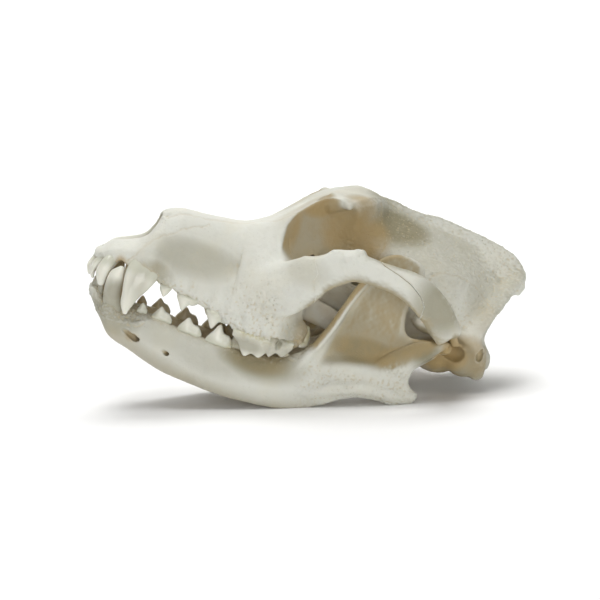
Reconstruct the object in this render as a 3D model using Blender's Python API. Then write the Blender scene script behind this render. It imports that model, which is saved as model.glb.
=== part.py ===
"""A dog's skull with its lower jaw, life size, lying on the jaw with the mouth nearly closed.

The bones are shaped in the skull's own frame, in millimetres: x runs back from the front
of the upper jaw, y to the dog's right and z up, square to the palate. At the end the skull
is tipped to the angle at which it rests and set on the floor.
"""
from math import cos, pi, radians, sin

import bmesh
import bpy
import numpy as np
from mathutils import Matrix

for old in list(bpy.data.objects):
    bpy.data.objects.remove(old)

# Driving sizes, in millimetres and degrees.
TILT = 19.5            # about how far the nose is up when the jaw's belly and corners are down
VOXEL = 0.8            # grain of the modelled bone before it is simplified
SEAM = 0.3             # gap that parted bones keep
FOOT = 0.7             # height taken off under the jaw to make its resting flats
CREST_TOP = 198.0      # how far back the crest of the skull reaches
HINGE_RADIUS = 3.0     # of the jaw's condyle
HINGE_PLAY = 0.7       # between the condyle and its socket
SHARP = 50.0           # edges bent further than this stay sharp

BONE = (0.80, 0.76, 0.67, 1.0)
BONE_ROUGHNESS = 0.5
SOLVER = "MANIFOLD"


# Smooth curves and closed surfaces

def spline(rows, count):
    """Rows of numbers turned into count rows along a smooth curve through them."""
    rows = np.array(rows, float)
    last = len(rows) - 1
    t = np.linspace(0, last, count)
    i = np.minimum(t.astype(int), last - 1)
    u = (t - i)[:, None]
    before = np.where((i == 0)[:, None], 2 * rows[0] - rows[1], rows[np.maximum(i - 1, 0)])
    after = np.where((i == last - 1)[:, None], 2 * rows[last] - rows[last - 1],
                     rows[np.minimum(i + 2, last)])
    return blend(before, rows[i], rows[i + 1], after, u)


def loop(rows, count):
    """The same round a closed outline."""
    rows = np.array(rows, float)
    t = np.linspace(0, len(rows), count, endpoint=False)
    i = t.astype(int)
    p = [rows[(i + k) % len(rows)] for k in (-1, 0, 1, 2)]
    return blend(*p, (t - i)[:, None])


def blend(a, b, c, d, u):
    return (2 * b + (c - a) * u + (2 * a - 5 * b + 4 * c - d) * u**2
            + (3 * b - a - 3 * c + d) * u**3) / 2


def skin(rings):
    """Points and faces of a closed surface over rings that hold the same number of points."""
    rings = np.array(rings, float)
    count, around = rings.shape[:2]
    faces = []
    for r in range(count - 1):
        for k in range(around):
            a = r * around + k
            b = r * around + (k + 1) % around
            faces.append((a, b, b + around, a + around))
    faces.append(tuple(range(around - 1, -1, -1)))
    faces.append(tuple((count - 1) * around + k for k in range(around)))
    points = rings.reshape(-1, 3)
    middle = points.mean(axis=0)
    volume = 0
    for a, b, c in [f[:3] for f in faces[:-2]]:
        volume += np.dot(points[a] - middle, np.cross(points[b] - middle, points[c] - middle))
    if volume < 0:
        faces = [f[::-1] for f in faces]
    return points, faces


def loft(stations, half, count=60, around=64):
    """A surface along x whose cross-sections are mirrored half outlines."""
    rings = []
    for row in spline(stations, count):
        right = half(*row[1:])
        left = [(-y, z) for y, z in right[-2:0:-1]]
        rings.append([(row[0], y, z) for y, z in loop(right + left, around)])
    return skin(rings)


def rod(rows, up=(0, 0, 1), around=16, count=None, caps=4):
    """A bar through rows of x, y, z, half width and half height, with rounded ends."""
    rows = spline(rows, count or 6 * len(rows))
    middle, wide, high = rows[:, :3], rows[:, 3], rows[:, 4]
    ahead = np.gradient(middle, axis=0)
    ahead /= np.linalg.norm(ahead, axis=1)[:, None]
    turn = np.arange(around) * 2 * pi / around
    rings = []
    steps = [(0, -1, k) for k in range(caps, 0, -1)] + [(i, 0, 0) for i in range(len(rows))]
    steps += [(len(rows) - 1, 1, k) for k in range(1, caps + 1)]
    for i, end, k in steps:
        bend = k / (caps + 0.3) * pi / 2
        side = np.cross(up, ahead[i])
        side /= np.linalg.norm(side)
        top = np.cross(ahead[i], side)
        centre = middle[i] + ahead[i] * end * min(wide[i], high[i]) * sin(bend)
        rings.append(centre + np.outer(np.cos(turn) * wide[i] * cos(bend), side)
                     + np.outer(np.sin(turn) * high[i] * cos(bend), top))
    return skin(rings)


def egg(centre, radii, lean=0.0, swing=0.0, detail=4):
    """An ellipsoid, leaned about y and swung about z."""
    ball = bmesh.new()
    bmesh.ops.create_icosphere(ball, subdivisions=detail, radius=1)
    turn = Matrix.Rotation(radians(swing), 4, "Z") @ Matrix.Rotation(radians(lean), 4, "Y")
    bmesh.ops.transform(ball, verts=ball.verts,
                        matrix=Matrix.Translation(centre) @ turn @ Matrix.Diagonal((*radii, 1)))
    points = np.array([v.co[:] for v in ball.verts])
    faces = [tuple(v.index for v in f.verts) for f in ball.faces]
    ball.free()
    return points, faces


def fin(outline, half_widths, count=90):
    """An upright plate over an x, z outline; each half width takes the outline lower."""
    layers = [(-width, drop) for width, drop in half_widths[::-1]] + half_widths
    edge = loop(outline, count)
    return skin([[(x, y, z - drop * (z > outline[-1][1])) for x, z in edge] for y, drop in layers])


def sides(*pieces):
    """Each piece and its mirror image."""
    return [s for p in pieces for s in (p, (p[0] * (1, -1, 1), [f[::-1] for f in p[1]]))]


# Clay: meshes that are fused, carved and smoothed

def mesh_of(name, pieces):
    """One object holding every piece as a shell of its own."""
    points, faces, start = [], [], 0
    for p, f in pieces:
        points.append(p)
        faces += [tuple(i + start for i in face) for face in f]
        start += len(p)
    mesh = bpy.data.meshes.new(name)
    mesh.from_pydata(np.concatenate(points).tolist(), [], faces)
    body = bpy.data.objects.new(name, mesh)
    bpy.context.scene.collection.objects.link(body)
    return body


def apply(body):
    graph = bpy.context.evaluated_depsgraph_get()
    mesh = bpy.data.meshes.new_from_object(body.evaluated_get(graph))
    body.modifiers.clear()
    body.data = mesh
    return body


def fuse(body, voxel=VOXEL):
    """Every shell of the body becomes one skin."""
    remesh = body.modifiers.new("fuse", "REMESH")
    remesh.mode = "VOXEL"
    remesh.voxel_size = voxel
    return apply(body)


def combine(body, pieces, operation):
    """The pieces are fused together, then added to the body or carved out of it."""
    other = fuse(mesh_of("other", pieces))
    cut = body.modifiers.new("combine", "BOOLEAN")
    cut.operation = operation
    cut.solver = SOLVER
    cut.object = other
    apply(body)
    bpy.data.objects.remove(other)
    return body


class Clay:
    """A body's points as arrays, to be smoothed and pressed."""

    def __init__(self, body):
        self.mesh = body.data
        count = len(self.mesh.vertices)
        points = np.empty(count * 3, np.float32)
        self.mesh.vertices.foreach_get("co", points)
        self.points = points.reshape(-1, 3).astype(float)
        edges = np.empty(len(self.mesh.edges) * 2, np.int32)
        self.mesh.edges.foreach_get("vertices", edges)
        self.edges = edges.reshape(-1, 2)
        self.reach = np.bincount(edges, minlength=count)[:, None]
        self.settle()

    def settle(self):
        """The points go back to the mesh, which gives their normals."""
        self.mesh.vertices.foreach_set("co", self.points.astype(np.float32).ravel())
        self.mesh.update()
        normals = np.empty(len(self.points) * 3, np.float32)
        self.mesh.vertices.foreach_get("normal", normals)
        self.normals = normals.reshape(-1, 3).astype(float)

    def drift(self):
        """The way from each point to the middle of its neighbours."""
        a, b = self.edges.T
        total = np.zeros_like(self.points)
        for k in range(3):
            column = self.points[:, k]
            total[:, k] = (np.bincount(a, column[b], len(column))
                           + np.bincount(b, column[a], len(column)))
        return total / self.reach - self.points

    def fill(self, passes):
        """Creases fill up while ridges and rims stay sharp."""
        for step in range(passes):
            if step % 4 == 0:
                self.settle()
            way = self.drift()
            rises = (way * self.normals).sum(axis=1) > 0
            self.points += way * rises[:, None] / 2
        self.settle()

    def smooth(self, passes):
        for _ in range(passes):
            self.points += self.drift() / 2
        self.settle()

    def press(self, centre, radii, depth, way=None):
        """A round dent, or a swelling where depth is negative, on both sides of the skull."""
        for side in (1, -1):
            offset = (self.points - np.array(centre) * (1, side, 1)) / radii
            near = np.clip(1 - np.linalg.norm(offset, axis=1), 0, 1)
            near = near * near * (3 - 2 * near)
            push = -self.normals if way is None else np.array(way) * (1.0, side, 1.0)
            self.points += push * (near * depth)[:, None]
        self.settle()


# The face: the muzzle from the front teeth back to the eye sockets

def face_half(top, nasal_y, nasal_z, wall_y, wall_z, gum_y, gum_z, palate_z):
    """Half a cross-section, from the nose's top line round to the middle of the palate."""
    return [(0, top), (nasal_y * 0.6, top - (top - nasal_z) * 0.15), (nasal_y, nasal_z),
            ((nasal_y + wall_y) / 2 + 0.5, (nasal_z + wall_z) / 2), (wall_y, wall_z),
            (gum_y, wall_z * 0.45 + gum_z * 0.55), (gum_y, gum_z), (gum_y - 5, gum_z - 0.5),
            (gum_y * 0.45, gum_z * 0.4 + palate_z * 0.6 + 1), (0, palate_z)]


FACE = [
    # x, top, nasal y and z, side wall y and z, gum y and z, palate z
    (-0.5, 8.5, 4, 8.3, 6.5, 7, 6.5, 5.2, 4.5),
    (3, 11, 7, 10.5, 11, 8.5, 10.5, 5, 4.5),
    (7, 15, 8, 14.5, 13.5, 10.5, 13.5, 5.5, 5),
    (13, 17.8, 9, 17, 15.5, 12.5, 15.8, 6, 6),
    (19, 21, 10, 20, 18, 14, 19, 6.5, 6),
    (22, 26.5, 10, 24, 18.3, 15, 20, 6.5, 6),
    (25, 33, 9, 29.5, 18, 17, 20.2, 5.4, 5.5),
    (32, 36.8, 9.5, 33.5, 17, 20, 19, 3.4, 5),
    (45, 37.6, 9, 35.5, 17, 20, 19, 0.8, 4.5),
    (57, 38.6, 9.5, 36.5, 18.5, 21, 21.5, -2.4, 4),
    (61.5, 39.2, 10.3, 37.3, 19.2, 21, 23.6, -4, 3.5),
    (65, 40.3, 11.8, 38.4, 24.8, 20, 26.8, -5, 3.2),
    (74, 45, 17, 43, 27.5, 23, 31, -7, 2),
    (82, 51.5, 21.5, 50, 29.5, 26, 32.5, -7, 2),
    (90, 59, 25, 57.5, 30, 24, 32, -6.5, 3),
    (97, 63, 25, 60, 22, 25, 27, -4, 5),
]


# The braincase, from the eye sockets back to the nuchal crest

def brain_half(top, brow_y, brow_z, wall_y, wall_z, low_y, low_z, base_z):
    """Half a cross-section, from the top line round to the middle of the base."""
    return [(0, top), (brow_y * 0.55, top - (top - brow_z) * 0.35), (brow_y, brow_z),
            (brow_y * 0.35 + wall_y * 0.65, (brow_z + wall_z) / 2), (wall_y, wall_z),
            (wall_y * 0.4 + low_y * 0.6, (wall_z + low_z) / 2), (low_y, low_z),
            (low_y * 0.75, (low_z + base_z) / 2), (low_y * 0.42, base_z), (0, base_z)]


BRAINCASE = [
    # x, top, brow y and z, side wall y and z, lower wall y and z, base z
    (78, 47, 12, 45, 12, 34, 12, 20, 9),
    (90, 60, 24, 58, 14.5, 41, 13.5, 22, 9),
    (97, 65.5, 27, 61, 15.5, 43, 13.5, 22, 10),
    (104, 69, 28, 60.5, 16.5, 43, 13.5, 22, 11),
    (110, 71, 23.5, 62, 17, 43, 13, 22, 11.5),
    (118, 69.5, 15, 65, 17.5, 43, 13, 22, 11.5),
    (126, 66, 9, 62.5, 20.5, 42, 16, 22, 10.5),
    (135, 63, 9, 60, 25.5, 40, 22, 22, 8),
    (146, 62, 11, 58, 29, 38, 26, 21, 6),
    (158, 60.5, 12, 55.5, 29.5, 35, 28, 19, 4.5),
    (168, 59, 12, 52, 28.5, 31, 29, 16, 4.5),
    (176, 57, 9, 49, 26, 30, 28, 15, 5),
    (182, 55, 7, 48, 21, 34, 20, 20, 7),
    (186, 54, 5, 48, 16, 40, 13, 31, 20),
    (191, 53, 4, 49, 9, 44, 9, 41, 36),
    (196, 51, 2, 49.5, 3.5, 47, 3.5, 45.5, 43.5),
]

# Top line of the sagittal crest, then back along inside the braincase.
CREST = [(116, 67), (126, 68.3), (134, 67), (141, 66.4), (150, 66.8), (158, 66), (166, 65),
         (174, 64), (183, 62), (189, 60), (193.5, 57.5), (196.8, 53), (CREST_TOP, 47), (197, 43.5),
         (190, 40), (176, 42), (150, 46), (122, 50)]
CREST_HALF_WIDTHS = [(1.3, 0), (2.6, 3.5), (5, 9)]      # and how far each lies below the top

# x, y, z, half width and half height along each bar of bone
ARCH_FRONT = [(74, 25, 12, 6, 12), (83, 32, 16, 5.5, 12.5), (90, 38, 22, 4.6, 11.5),
              (96, 42, 29, 4, 9.5), (102, 45.6, 33.5, 3.4, 8.4), (108, 48.6, 36.2, 3, 7.2),
              (114, 50.9, 36.8, 2.8, 6.3), (120, 52.6, 36.6, 2.7, 5.8), (127, 53.8, 36.3, 2.7, 6),
              (135, 54.2, 35.2, 2.8, 7), (142.5, 53.6, 32.2, 2.8, 7.6), (148, 52.4, 28.5, 2.8, 7.6)]
ARCH_REAR = [(146, 52.8, 30, 2.8, 7.5), (150.5, 52, 26.5, 2.8, 7.5), (154.5, 50, 22.8, 3, 7.3),
             (157.6, 46.6, 19.8, 3.2, 7), (158.5, 41.5, 19.2, 3.4, 7.2), (158.5, 35, 20, 4, 7.8),
             (158, 26, 21, 5, 8)]
CHEEK_PROCESS = [(106, 47.6, 39, 3.4, 4), (109.4, 47.4, 41.8, 2.7, 3.4), (111.5, 47.2, 42.6, 2.2, 2.4)]
BROW_PROCESS = [(97, 18, 60, 4, 5), (101, 24, 61, 2.6, 2.6), (103.2, 26.8, 60.2, 1.4, 1.4)]
NASAL_TIP = [(25, 3.2, 32.3, 3, 1), (29, 3.6, 34.3, 4, 1.5), (35, 4, 35.4, 4.5, 1.8)]
ARCH_FOOT = [(153, 51.5, 25, 4, 2.6), (153.6, 50.8, 21, 4.4, 2.6), (158, 48.8, 17.4, 5.2, 1.8)]
NUCHAL_CREST = [(194, 0, 50, 4, 4.5), (191, 8, 47.4, 2.2, 5), (186, 16, 41.8, 1.8, 5),
                (180.6, 24, 34, 1.8, 4.8), (175.6, 29, 25.6, 2, 4.4), (173.6, 31, 17, 2.4, 4.6)]
MASTOID = [(168, 29, 19, 3, 3), (173.5, 30.5, 18, 3.4, 3), (178, 30, 14.5, 3.4, 2.8),
           (180, 28, 8, 3.4, 2.6)]
PARACONDYLAR = [(178.5, 25, 13, 6, 3.4), (181.6, 25.5, 6.4, 4.4, 2.8), (182.6, 25, 2.2, 3.2, 2.2)]
CONDYLE = [(176, 5, 7, 5, 4), (182.5, 8, 6.5, 4, 4.6), (186, 12.5, 8.8, 4.2, 6.4), (181, 16, 15, 4, 5)]
RETROARTICULAR = [(164, 37.5, 17.6, 1.6, 2), (165.8, 34.2, 14, 1.8, 3), (166.6, 30.5, 11.6, 2, 4.4),
                  (165, 26, 11.5, 3, 5)]
EAR_MASS = ((175, 23.5, 8), (9, 6.5, 8.4))      # bone between the ear and the back of the skull
EAR_RIDGE = [(170.5, 29.5, 11.4, 1, 1), (174.6, 30.4, 14.6, 1.2, 1.1), (180, 28, 16.8, 1.4, 1.1)]
PTERYGOID = [(92, 13.5, 11, 3, 6), (106, 11, 8.5, 1.5, 6), (118, 10, 6, 1.2, 5), (126, 10, 3, 1, 3)]
ARCH_SHELF = ((153.5, 29, 19.5), (8, 9.5, 4.6))       # centre and radii
BULLA = ((162, 17.5, 6.5), (13, 9, 9))
TUBER = ((94.6, 27, -1.8), (6.4, 5.2, 7.4))          # where the last upper molar sits
JAW_HINGE = [(161, 30.5, 10.2), (161.6, 34.5, 11), (161.7, 38.8, 12)]

# Hollows: egg shapes by centre and radii, and bores like the bars
EYE_SOCKET = ((96.5, 38, 44.5), (25, 24, 21.5))
TEMPLE = ((113, 46, 25), (15, 28, 15))
BEHIND_TEETH = ((112, 32, 8), (10.5, 18, 17))
INFRAORBITAL = [(52, 21.4, 18.6, 0.8, 3), (59, 20.9, 18.8, 1, 3.8), (65, 20.4, 19, 1.4, 4.2),
                (76, 18.5, 20, 1.6, 3)]
NOSTRIL = [(-8, 0, 24, 8.4, 9), (8, 0, 22, 8.4, 9), (20, 0, 22.5, 8.6, 9.5), (32, 0, 22, 8.6, 10.5),
           (60, 0, 22, 8, 9)]
CHOANA = [(94, 0, 7, 7, 3.5), (102, 0, 8.5, 8, 5.5), (120, 0, 6.5, 8.6, 5.5), (136, 0, -3, 9, 6)]
FORAMEN_MAGNUM = [(202, 0, 14, 8, 6), (184, 0, 14, 7, 5.8), (166, 0, 19, 9, 8)]
PALATE = ((55, 0, -9), (36, 15, 9))
EAR_HOLE = ((167.8, 32, 9.6), (6, 8.5, 4.4))
EAR_PIT = ((180.2, 31, 12.4), (2, 3.4, 3.2))
# Shallow dents of the surface: centre, radii and depth
CANINE_SWELL = (24, 19, 14), (9, 7, 12), -2.4
CHEEK_DENT = (44, 18, 15), (14, 10, 13), 2.0
BROW_DENT = (96, 0, 64), (34, 8, 14), 2.0


def cranium(voxel):
    """The skull without its jaw, before it is parted into its bones."""
    skull = fuse(mesh_of("cranium", [loft(FACE, face_half), loft(BRAINCASE, brain_half)]), voxel)
    wide = HINGE_RADIUS + HINGE_PLAY
    socket = rod([(*p, wide, wide) for p in JAW_HINGE])
    fossae = sides(egg(*EYE_SOCKET), egg(*TEMPLE), egg(*BEHIND_TEETH), rod(INFRAORBITAL))
    hollows = [rod(NOSTRIL), rod(CHOANA), rod(FORAMEN_MAGNUM), egg(*PALATE)]
    combine(skull, fossae + hollows, "DIFFERENCE")
    across, back = (0, 1, 0), (1, 0, 0.3)
    bars = sides(rod(ARCH_FRONT), rod(ARCH_REAR, back), rod(CHEEK_PROCESS, across),
                 rod(BROW_PROCESS), rod(NUCHAL_CREST, (1, 0, 0.6)), rod(MASTOID, across),
                 rod(PARACONDYLAR, across), rod(CONDYLE, across), rod(RETROARTICULAR, back),
                 rod(PTERYGOID), rod(NASAL_TIP), rod(ARCH_FOOT, across), egg(*TUBER),
                 egg(*BULLA, lean=8, swing=-18), egg(*EAR_MASS), rod(EAR_RIDGE),
                 egg(*ARCH_SHELF))
    combine(skull, bars + [fin(CREST, CREST_HALF_WIDTHS)], "UNION")
    fuse(skull, voxel)
    clay = Clay(skull)
    clay.fill(40)
    clay.smooth(3)
    clay.press(*CANINE_SWELL)
    clay.press(*CHEEK_DENT)
    clay.press(*BROW_DENT, way=(0, 0, -1))
    combine(skull, sides(socket, egg(*EAR_HOLE), egg(*EAR_PIT)), "DIFFERENCE")
    return fuse(skull, voxel)


# The jaw, one half: a plate over its side outline, swelled to the bone's thickness

JAW_OUTLINE = [
    (1.5, -9), (4, -14), (10, -21.5), (15, -27.5), (20, -30), (27, -32), (36, -34.8), (45, -37),
    (55, -38), (67, -39), (78, -39), (90, -38), (99, -36.8), (107, -34), (116, -29.5), (123, -24.5),
    (130, -21.3), (137, -20), (146, -20), (151.5, -18), (155, -15.5), (156, -12.5), (154, -11),
    (151, -9), (150, -5.5), (151, -1.6), (155, 2.8), (160, 8), (163, 11.4), (161, 13.6), (155, 13.2),
    (148, 12), (144, 12.6), (141.5, 17), (141, 26), (143.5, 38), (142, 44), (136, 46.5), (128, 46),
    (121.5, 41), (116, 29), (112, 17), (108, 4), (103.6, -4.6), (98, -10.6), (90, -14), (80, -15.5),
    (70, -16), (58, -16), (45, -15), (36, -13), (28, -12.5), (18, -13), (10, -11), (5, -8.5)]
# x, how far out the middle of the jaw's thickness lies, and half the thickness
JAW_BODY = [(0, 4.5, 5.2), (8, 6.8, 7), (15, 8.2, 8.2), (24, 8.8, 8), (32, 12.2, 6.2),
            (42, 15.4, 5.2), (60, 19, 5.1), (80, 23.3, 5.2), (90, 25.6, 5), (99, 27.8, 3.4),
            (108, 30, 2.1), (120, 33, 1.9), (140, 36.5, 1.9), (165, 38, 1.9)]
JAW_LEAN, LEAN_FROM = 0.06, -15.0   # it leans outward by this slope above and below this height
CHIN_END, CHIN_FADE = 34.0, 8.0     # the two halves meet along the chin up to here
PLATE_HALF, PLATE_VOXEL = 6.0, 1.0  # of the plate before it is swelled
RIM_ROUND = 1.15        # how far in the edges are rounded, in half thicknesses
# The chewing muscle's hollow: its lower border by x and z, its front border by z and x
HOLLOW_FLOOR = [(106, -16), (112, -8.5), (121, -5.5), (133, -2.5), (147, 3), (152, 8)]
HOLLOW_FRONT = [(-20, 107), (0, 110), (24, 114.5), (44, 120)]
HOLLOW_DEPTH, HOLLOW_SLOPE = 3.2, 2.8
CORONOID_EDGE = [(96, 26, -24, 2, 3), (101, 30.5, -15, 2.2, 2.8), (105.5, 33, -5, 2.2, 2.4),
                 (110, 34.5, 6, 2, 2), (114.5, 35.8, 20, 1.8, 1.8), (121, 37, 35, 1.6, 1.5)]
MASSETER_SHELF = [(100, 25, -29, 3, 3), (110, 31.5, -25, 2.6, 3), (120, 35.6, -19.5, 2.2, 3),
                  (132, 38, -15.5, 2.2, 3), (146, 39.4, -15, 2.2, 2.6), (152.5, 39, -13.5, 1.8, 1.8)]
CONDYLE_NECK = [(132, 36.5, -8.5, 1.8, 2.6), (141, 38.8, -0.5, 2.2, 4.8), (150, 41, 7, 2.3, 5),
                (156.4, 42.6, 11.4, 2.2, 3.2), (160.8, 43.4, 14.2, 1.4, 1.6)]
CANINE_SOCKET = [(12.9, 12.2, -16.2, 4.8, 5), (16, 11, -20.5, 4.8, 5.2), (21, 10, -26, 4, 4.4)]
ANGLE_HOOK = [(149.5, 38.6, -15.8, 2, 2.4), (153.8, 38.8, -14, 1.5, 1.6), (155.2, 39, -11.4, 0.9, 0.9)]


def distance_to(outline, points):
    """How far each x, z point is from a closed outline."""
    nearest = np.full(len(points), np.inf)
    for a, b in zip(outline, np.roll(outline, -1, axis=0)):
        along = np.clip((points - a) @ (b - a) / ((b - a) @ (b - a)), 0, 1)
        nearest = np.minimum(nearest, np.linalg.norm(points - a - along[:, None] * (b - a), axis=1))
    return nearest


def jaw(voxel):
    """The right half of the lower jaw."""
    outline = loop(JAW_OUTLINE, 240)
    plate = [[(x, y, z) for x, z in outline] for y in (-PLATE_HALF, 0, PLATE_HALF)]
    body = fuse(mesh_of("mandible_right", [skin(plate)]), PLATE_VOXEL)
    clay = Clay(body)
    x, across, z = clay.points.T
    stations, middles, halves = np.transpose(JAW_BODY)
    half = np.interp(x, stations, halves)
    middle = np.interp(x, stations, middles) + (z - LEAN_FROM) * JAW_LEAN
    inward = distance_to(outline, clay.points[:, [0, 2]]) + PLATE_VOXEL / 4
    above = z - np.interp(x, *np.transpose(HOLLOW_FLOOR))
    behind = x - np.interp(z, *np.transpose(HOLLOW_FRONT))
    middle -= HOLLOW_DEPTH * (np.clip(above / HOLLOW_SLOPE + 0.5, 0, 1)
                              * np.clip(behind / HOLLOW_SLOPE, 0, 1))
    depth = np.clip(inward / (half * RIM_ROUND), 0, 1)
    rim = np.sqrt(np.maximum(1 - (1 - depth)**2, 0.02))
    chin = np.clip((CHIN_END - x) / CHIN_FADE, 0, 1) * (across < 0)
    clay.points[:, 1] = middle + across / PLATE_HALF * half * (rim + (1 - rim) * chin)
    clay.settle()
    hinge = rod([(*p, HINGE_RADIUS, HINGE_RADIUS) for p in JAW_HINGE])
    ridges = [hinge, rod(CORONOID_EDGE, (0, 1, 0)), rod(MASSETER_SHELF), rod(CONDYLE_NECK),
              rod(ANGLE_HOOK, (0, 1, 0)), rod(CANINE_SOCKET, (0, 1, 0))]
    combine(body, ridges, "UNION")
    fuse(body, voxel)
    clay = Clay(body)
    clay.fill(24)
    clay.smooth(3)
    return body


# Teeth

def cheek_tooth(place, heading, rows, crown, up):
    """A tooth along the jaw: rows of distance along, half width and height."""
    rings = []
    turn = np.array([[cos(radians(heading)), sin(radians(heading))],
                     [-sin(radians(heading)), cos(radians(heading))]])
    for along, half, height in rows:
        outline = [(half * 0.75, -3.0), (half, 0.3), (half * 0.72, height * 0.55),
                   (half * 0.2, height), (-half * 0.2, height), (-half * 0.72, height * 0.55),
                   (-half, 0.3), (-half * 0.75, -3.0)]
        if crown == "grinding":
            outline[3:5] = [(half * 0.6, height), (0, height * 0.62), (-half * 0.6, height * 0.72)]
        ring = []
        for side, rise in outline:
            x, y = np.array([along, side]) @ turn
            ring.append((place[0] + x, place[1] + y, place[2] + rise * up))
        rings.append(ring)
    return skin(rings)


def point_tooth(rows):
    """A pointed tooth along its own curve; the longer canines have more sides."""
    return rod(rows, (1, 0, 0), 8 if len(rows) > 4 else 6, len(rows), caps=1)


# Incisors and canine from root to tip: x, y, z, half width and half height
UPPER_POINTED = [
    [(3.5, 2.6, 9, 2, 2), (0.8, 2.6, 3, 2.2, 2), (-0.8, 2.5, -0.6, 2, 1.5), (-0.2, 2.4, -3.6, 1.3, 0.6)],
    [(5.5, 7.4, 9, 2.1, 2.2), (2.4, 7.6, 3, 2.5, 2.2), (0.8, 7.8, -0.9, 2.2, 1.6),
     (1.7, 7.8, -4.2, 1.4, 0.7)],
    [(9, 10.5, 8.5, 2.6, 3), (6.8, 12.2, 4.5, 2.8, 3.2), (5.4, 13.2, -0.5, 2.8, 3.1),
     (5.9, 13.4, -4.8, 1.7, 1.7)],
    [(27, 15.5, 14, 3.2, 4.6), (23.6, 17.2, 8, 3.8, 7.2), (21.6, 19.2, 1.5, 3.8, 6.6),
     (20, 20.3, -6, 3, 4), (19.5, 20.4, -10.6, 2.2, 2.7), (19.9, 20.2, -14.2, 1, 1.2)]]
# Premolars and molars: where, heading in degrees, crown, then along, half width and height
UPPER_CHEEK = [
    ((34.6, 16.8, 2.2), 2, "blade", [(-2.6, 1.3, 1.8), (-0.4, 2, 4.8), (1, 1.9, 4.2), (2.8, 1.2, 1.4)]),
    ((46, 17.4, 0.2), 8, "blade", [(-5.6, 1.1, 1.2), (-3.4, 2, 4.4), (-1.5, 2.3, 6.7), (0.6, 2, 3.8),
                                   (3, 2, 3.2), (5.6, 1, 1.2)]),
    ((61.5, 21.4, -2.6), 18, "blade", [(-6.8, 1.2, 1.2), (-4.6, 2.2, 4.6), (-2.2, 2.5, 7.6),
                                       (0.4, 2.1, 4), (3.6, 2.1, 3.8), (6.8, 1, 1.4)]),
    ((77.8, 29.2, -6.6), 15, "blade", [(-9.4, 1.8, 3), (-6.4, 3.1, 5.2), (-1.9, 3.3, 10.2),
                                       (1.4, 2.9, 8.4), (5.4, 2.9, 9), (9, 1.4, 4)]),
    ((91.2, 28.4, -5), 4, "grinding", [(-7, 3.6, 3.4), (-4.6, 5.6, 9.6), (-1.4, 5.4, 7.2),
                                       (1.8, 5.1, 8.2), (5.4, 3.2, 3.6)]),
    ((99.6, 25.4, -3.6), -8, "grinding", [(-2.8, 2.4, 1.6), (-0.8, 3.6, 3.6), (1, 3.4, 3),
                                          (2.8, 2, 1.2)])]
LOWER_POINTED = [
    [(6, 2, -13, 1.4, 2), (3.8, 2, -8.4, 1.5, 1.5), (3.2, 2, -5, 1.3, 0.7)],
    [(7, 5.2, -13, 1.5, 2.2), (4.8, 5.4, -8, 1.7, 1.7), (4.4, 5.6, -4.6, 1.5, 0.8)],
    [(8.4, 8, -13, 1.6, 2.2), (7, 8.3, -8, 1.8, 1.8), (6.9, 8.6, -4.8, 1.5, 0.9)],
    [(17, 10.5, -20, 3.2, 4.2), (13.4, 13, -12, 3.5, 4.4), (12.1, 14.8, -5, 3, 4.2),
     (12.1, 15.8, 0.6, 2, 3.6), (13.3, 16.4, 4.4, 0.9, 1.5)]]
LOWER_CHEEK = [
    ((27.5, 13, -13), 8, "blade", [(-2.4, 1.1, 1.2), (-0.4, 1.8, 4.2), (2.4, 1.1, 1.4)]),
    ((37, 15, -14), 10, "blade", [(-4.8, 1.4, 1.6), (-3, 2.3, 4), (-1.5, 2.6, 5.9), (0.8, 2.4, 4.2),
                                  (2.8, 2.3, 3.6), (4.8, 1.3, 1.4)]),
    ((50.5, 17.8, -16), 12, "blade", [(-5.8, 1.5, 1.8), (-3.8, 2.5, 4.6), (-1.7, 2.9, 6.8),
                                      (0.8, 2.5, 4.6), (3.8, 2.4, 3.8), (5.8, 1.3, 1.4)]),
    ((64.5, 20.8, -17), 12, "blade", [(-6.3, 1.5, 1.8), (-3.8, 2.7, 5.6), (-1.3, 3, 9.1),
                                      (1.2, 2.6, 5.6), (4.1, 2.6, 5), (6.3, 1.4, 1.8)]),
    ((81, 22.3, -17), 13, "blade", [(-11.2, 1.6, 5), (-8.2, 2.6, 8.4), (-3, 2.5, 6),
                                    (1, 2.6, 9), (4, 2.5, 4.6), (7.4, 2.4, 5), (10.2, 1.4, 2)]),
    ((95.5, 26, -15), 13, "grinding", [(-4, 1.8, 1.6), (-1.6, 2.6, 4.4), (1.6, 2.3, 3.6),
                                       (4, 1.4, 1.6)]),
    ((102, 27.6, -12.6), 13, "blade", [(-2, 1.2, 1), (0, 1.9, 2.8), (2, 1, 1)])]


def teeth(pointed, cheek, up):
    """The right side's teeth of one jaw, each a closed shell rooted in the bone."""
    rows = [point_tooth(tooth) for tooth in pointed]
    return rows + [cheek_tooth(place, heading, shape, crown, up)
                   for place, heading, crown, shape in cheek]


# Parting the skull into its bones, and bringing the parts to the size of faceted solids

# Each cut's line in x and z, or in x and y, and how far it runs across
FACE_CUT = [(84, 80), (88, 62), (96, 28), (104, -6), (108, -24)], -90, 90
CHEEK_SUTURE = [(115, 52), (117.5, 43.5), (121, 41), (128, 39), (134.5, 36.4), (140, 32.6),
                (143, 28.5), (143.5, 12)], 44, 70
TEMPORAL_CUT = [(138, 28), (147, 29.8), (160, 31.8), (172, 34.4)], 2, 42
CRANIUM_FACES, JAW_FACES = 6900, 1850       # triangles left after simplifying
SKULL_BONES = 6
SNOUT_END, CHEEK_END, MIDDLE_HALF = 80.0, 130.0, 10.0   # where each bone's middle lies
JAW_SPLIT = 125.0      # x between the jaw's belly and its rear corner


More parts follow.
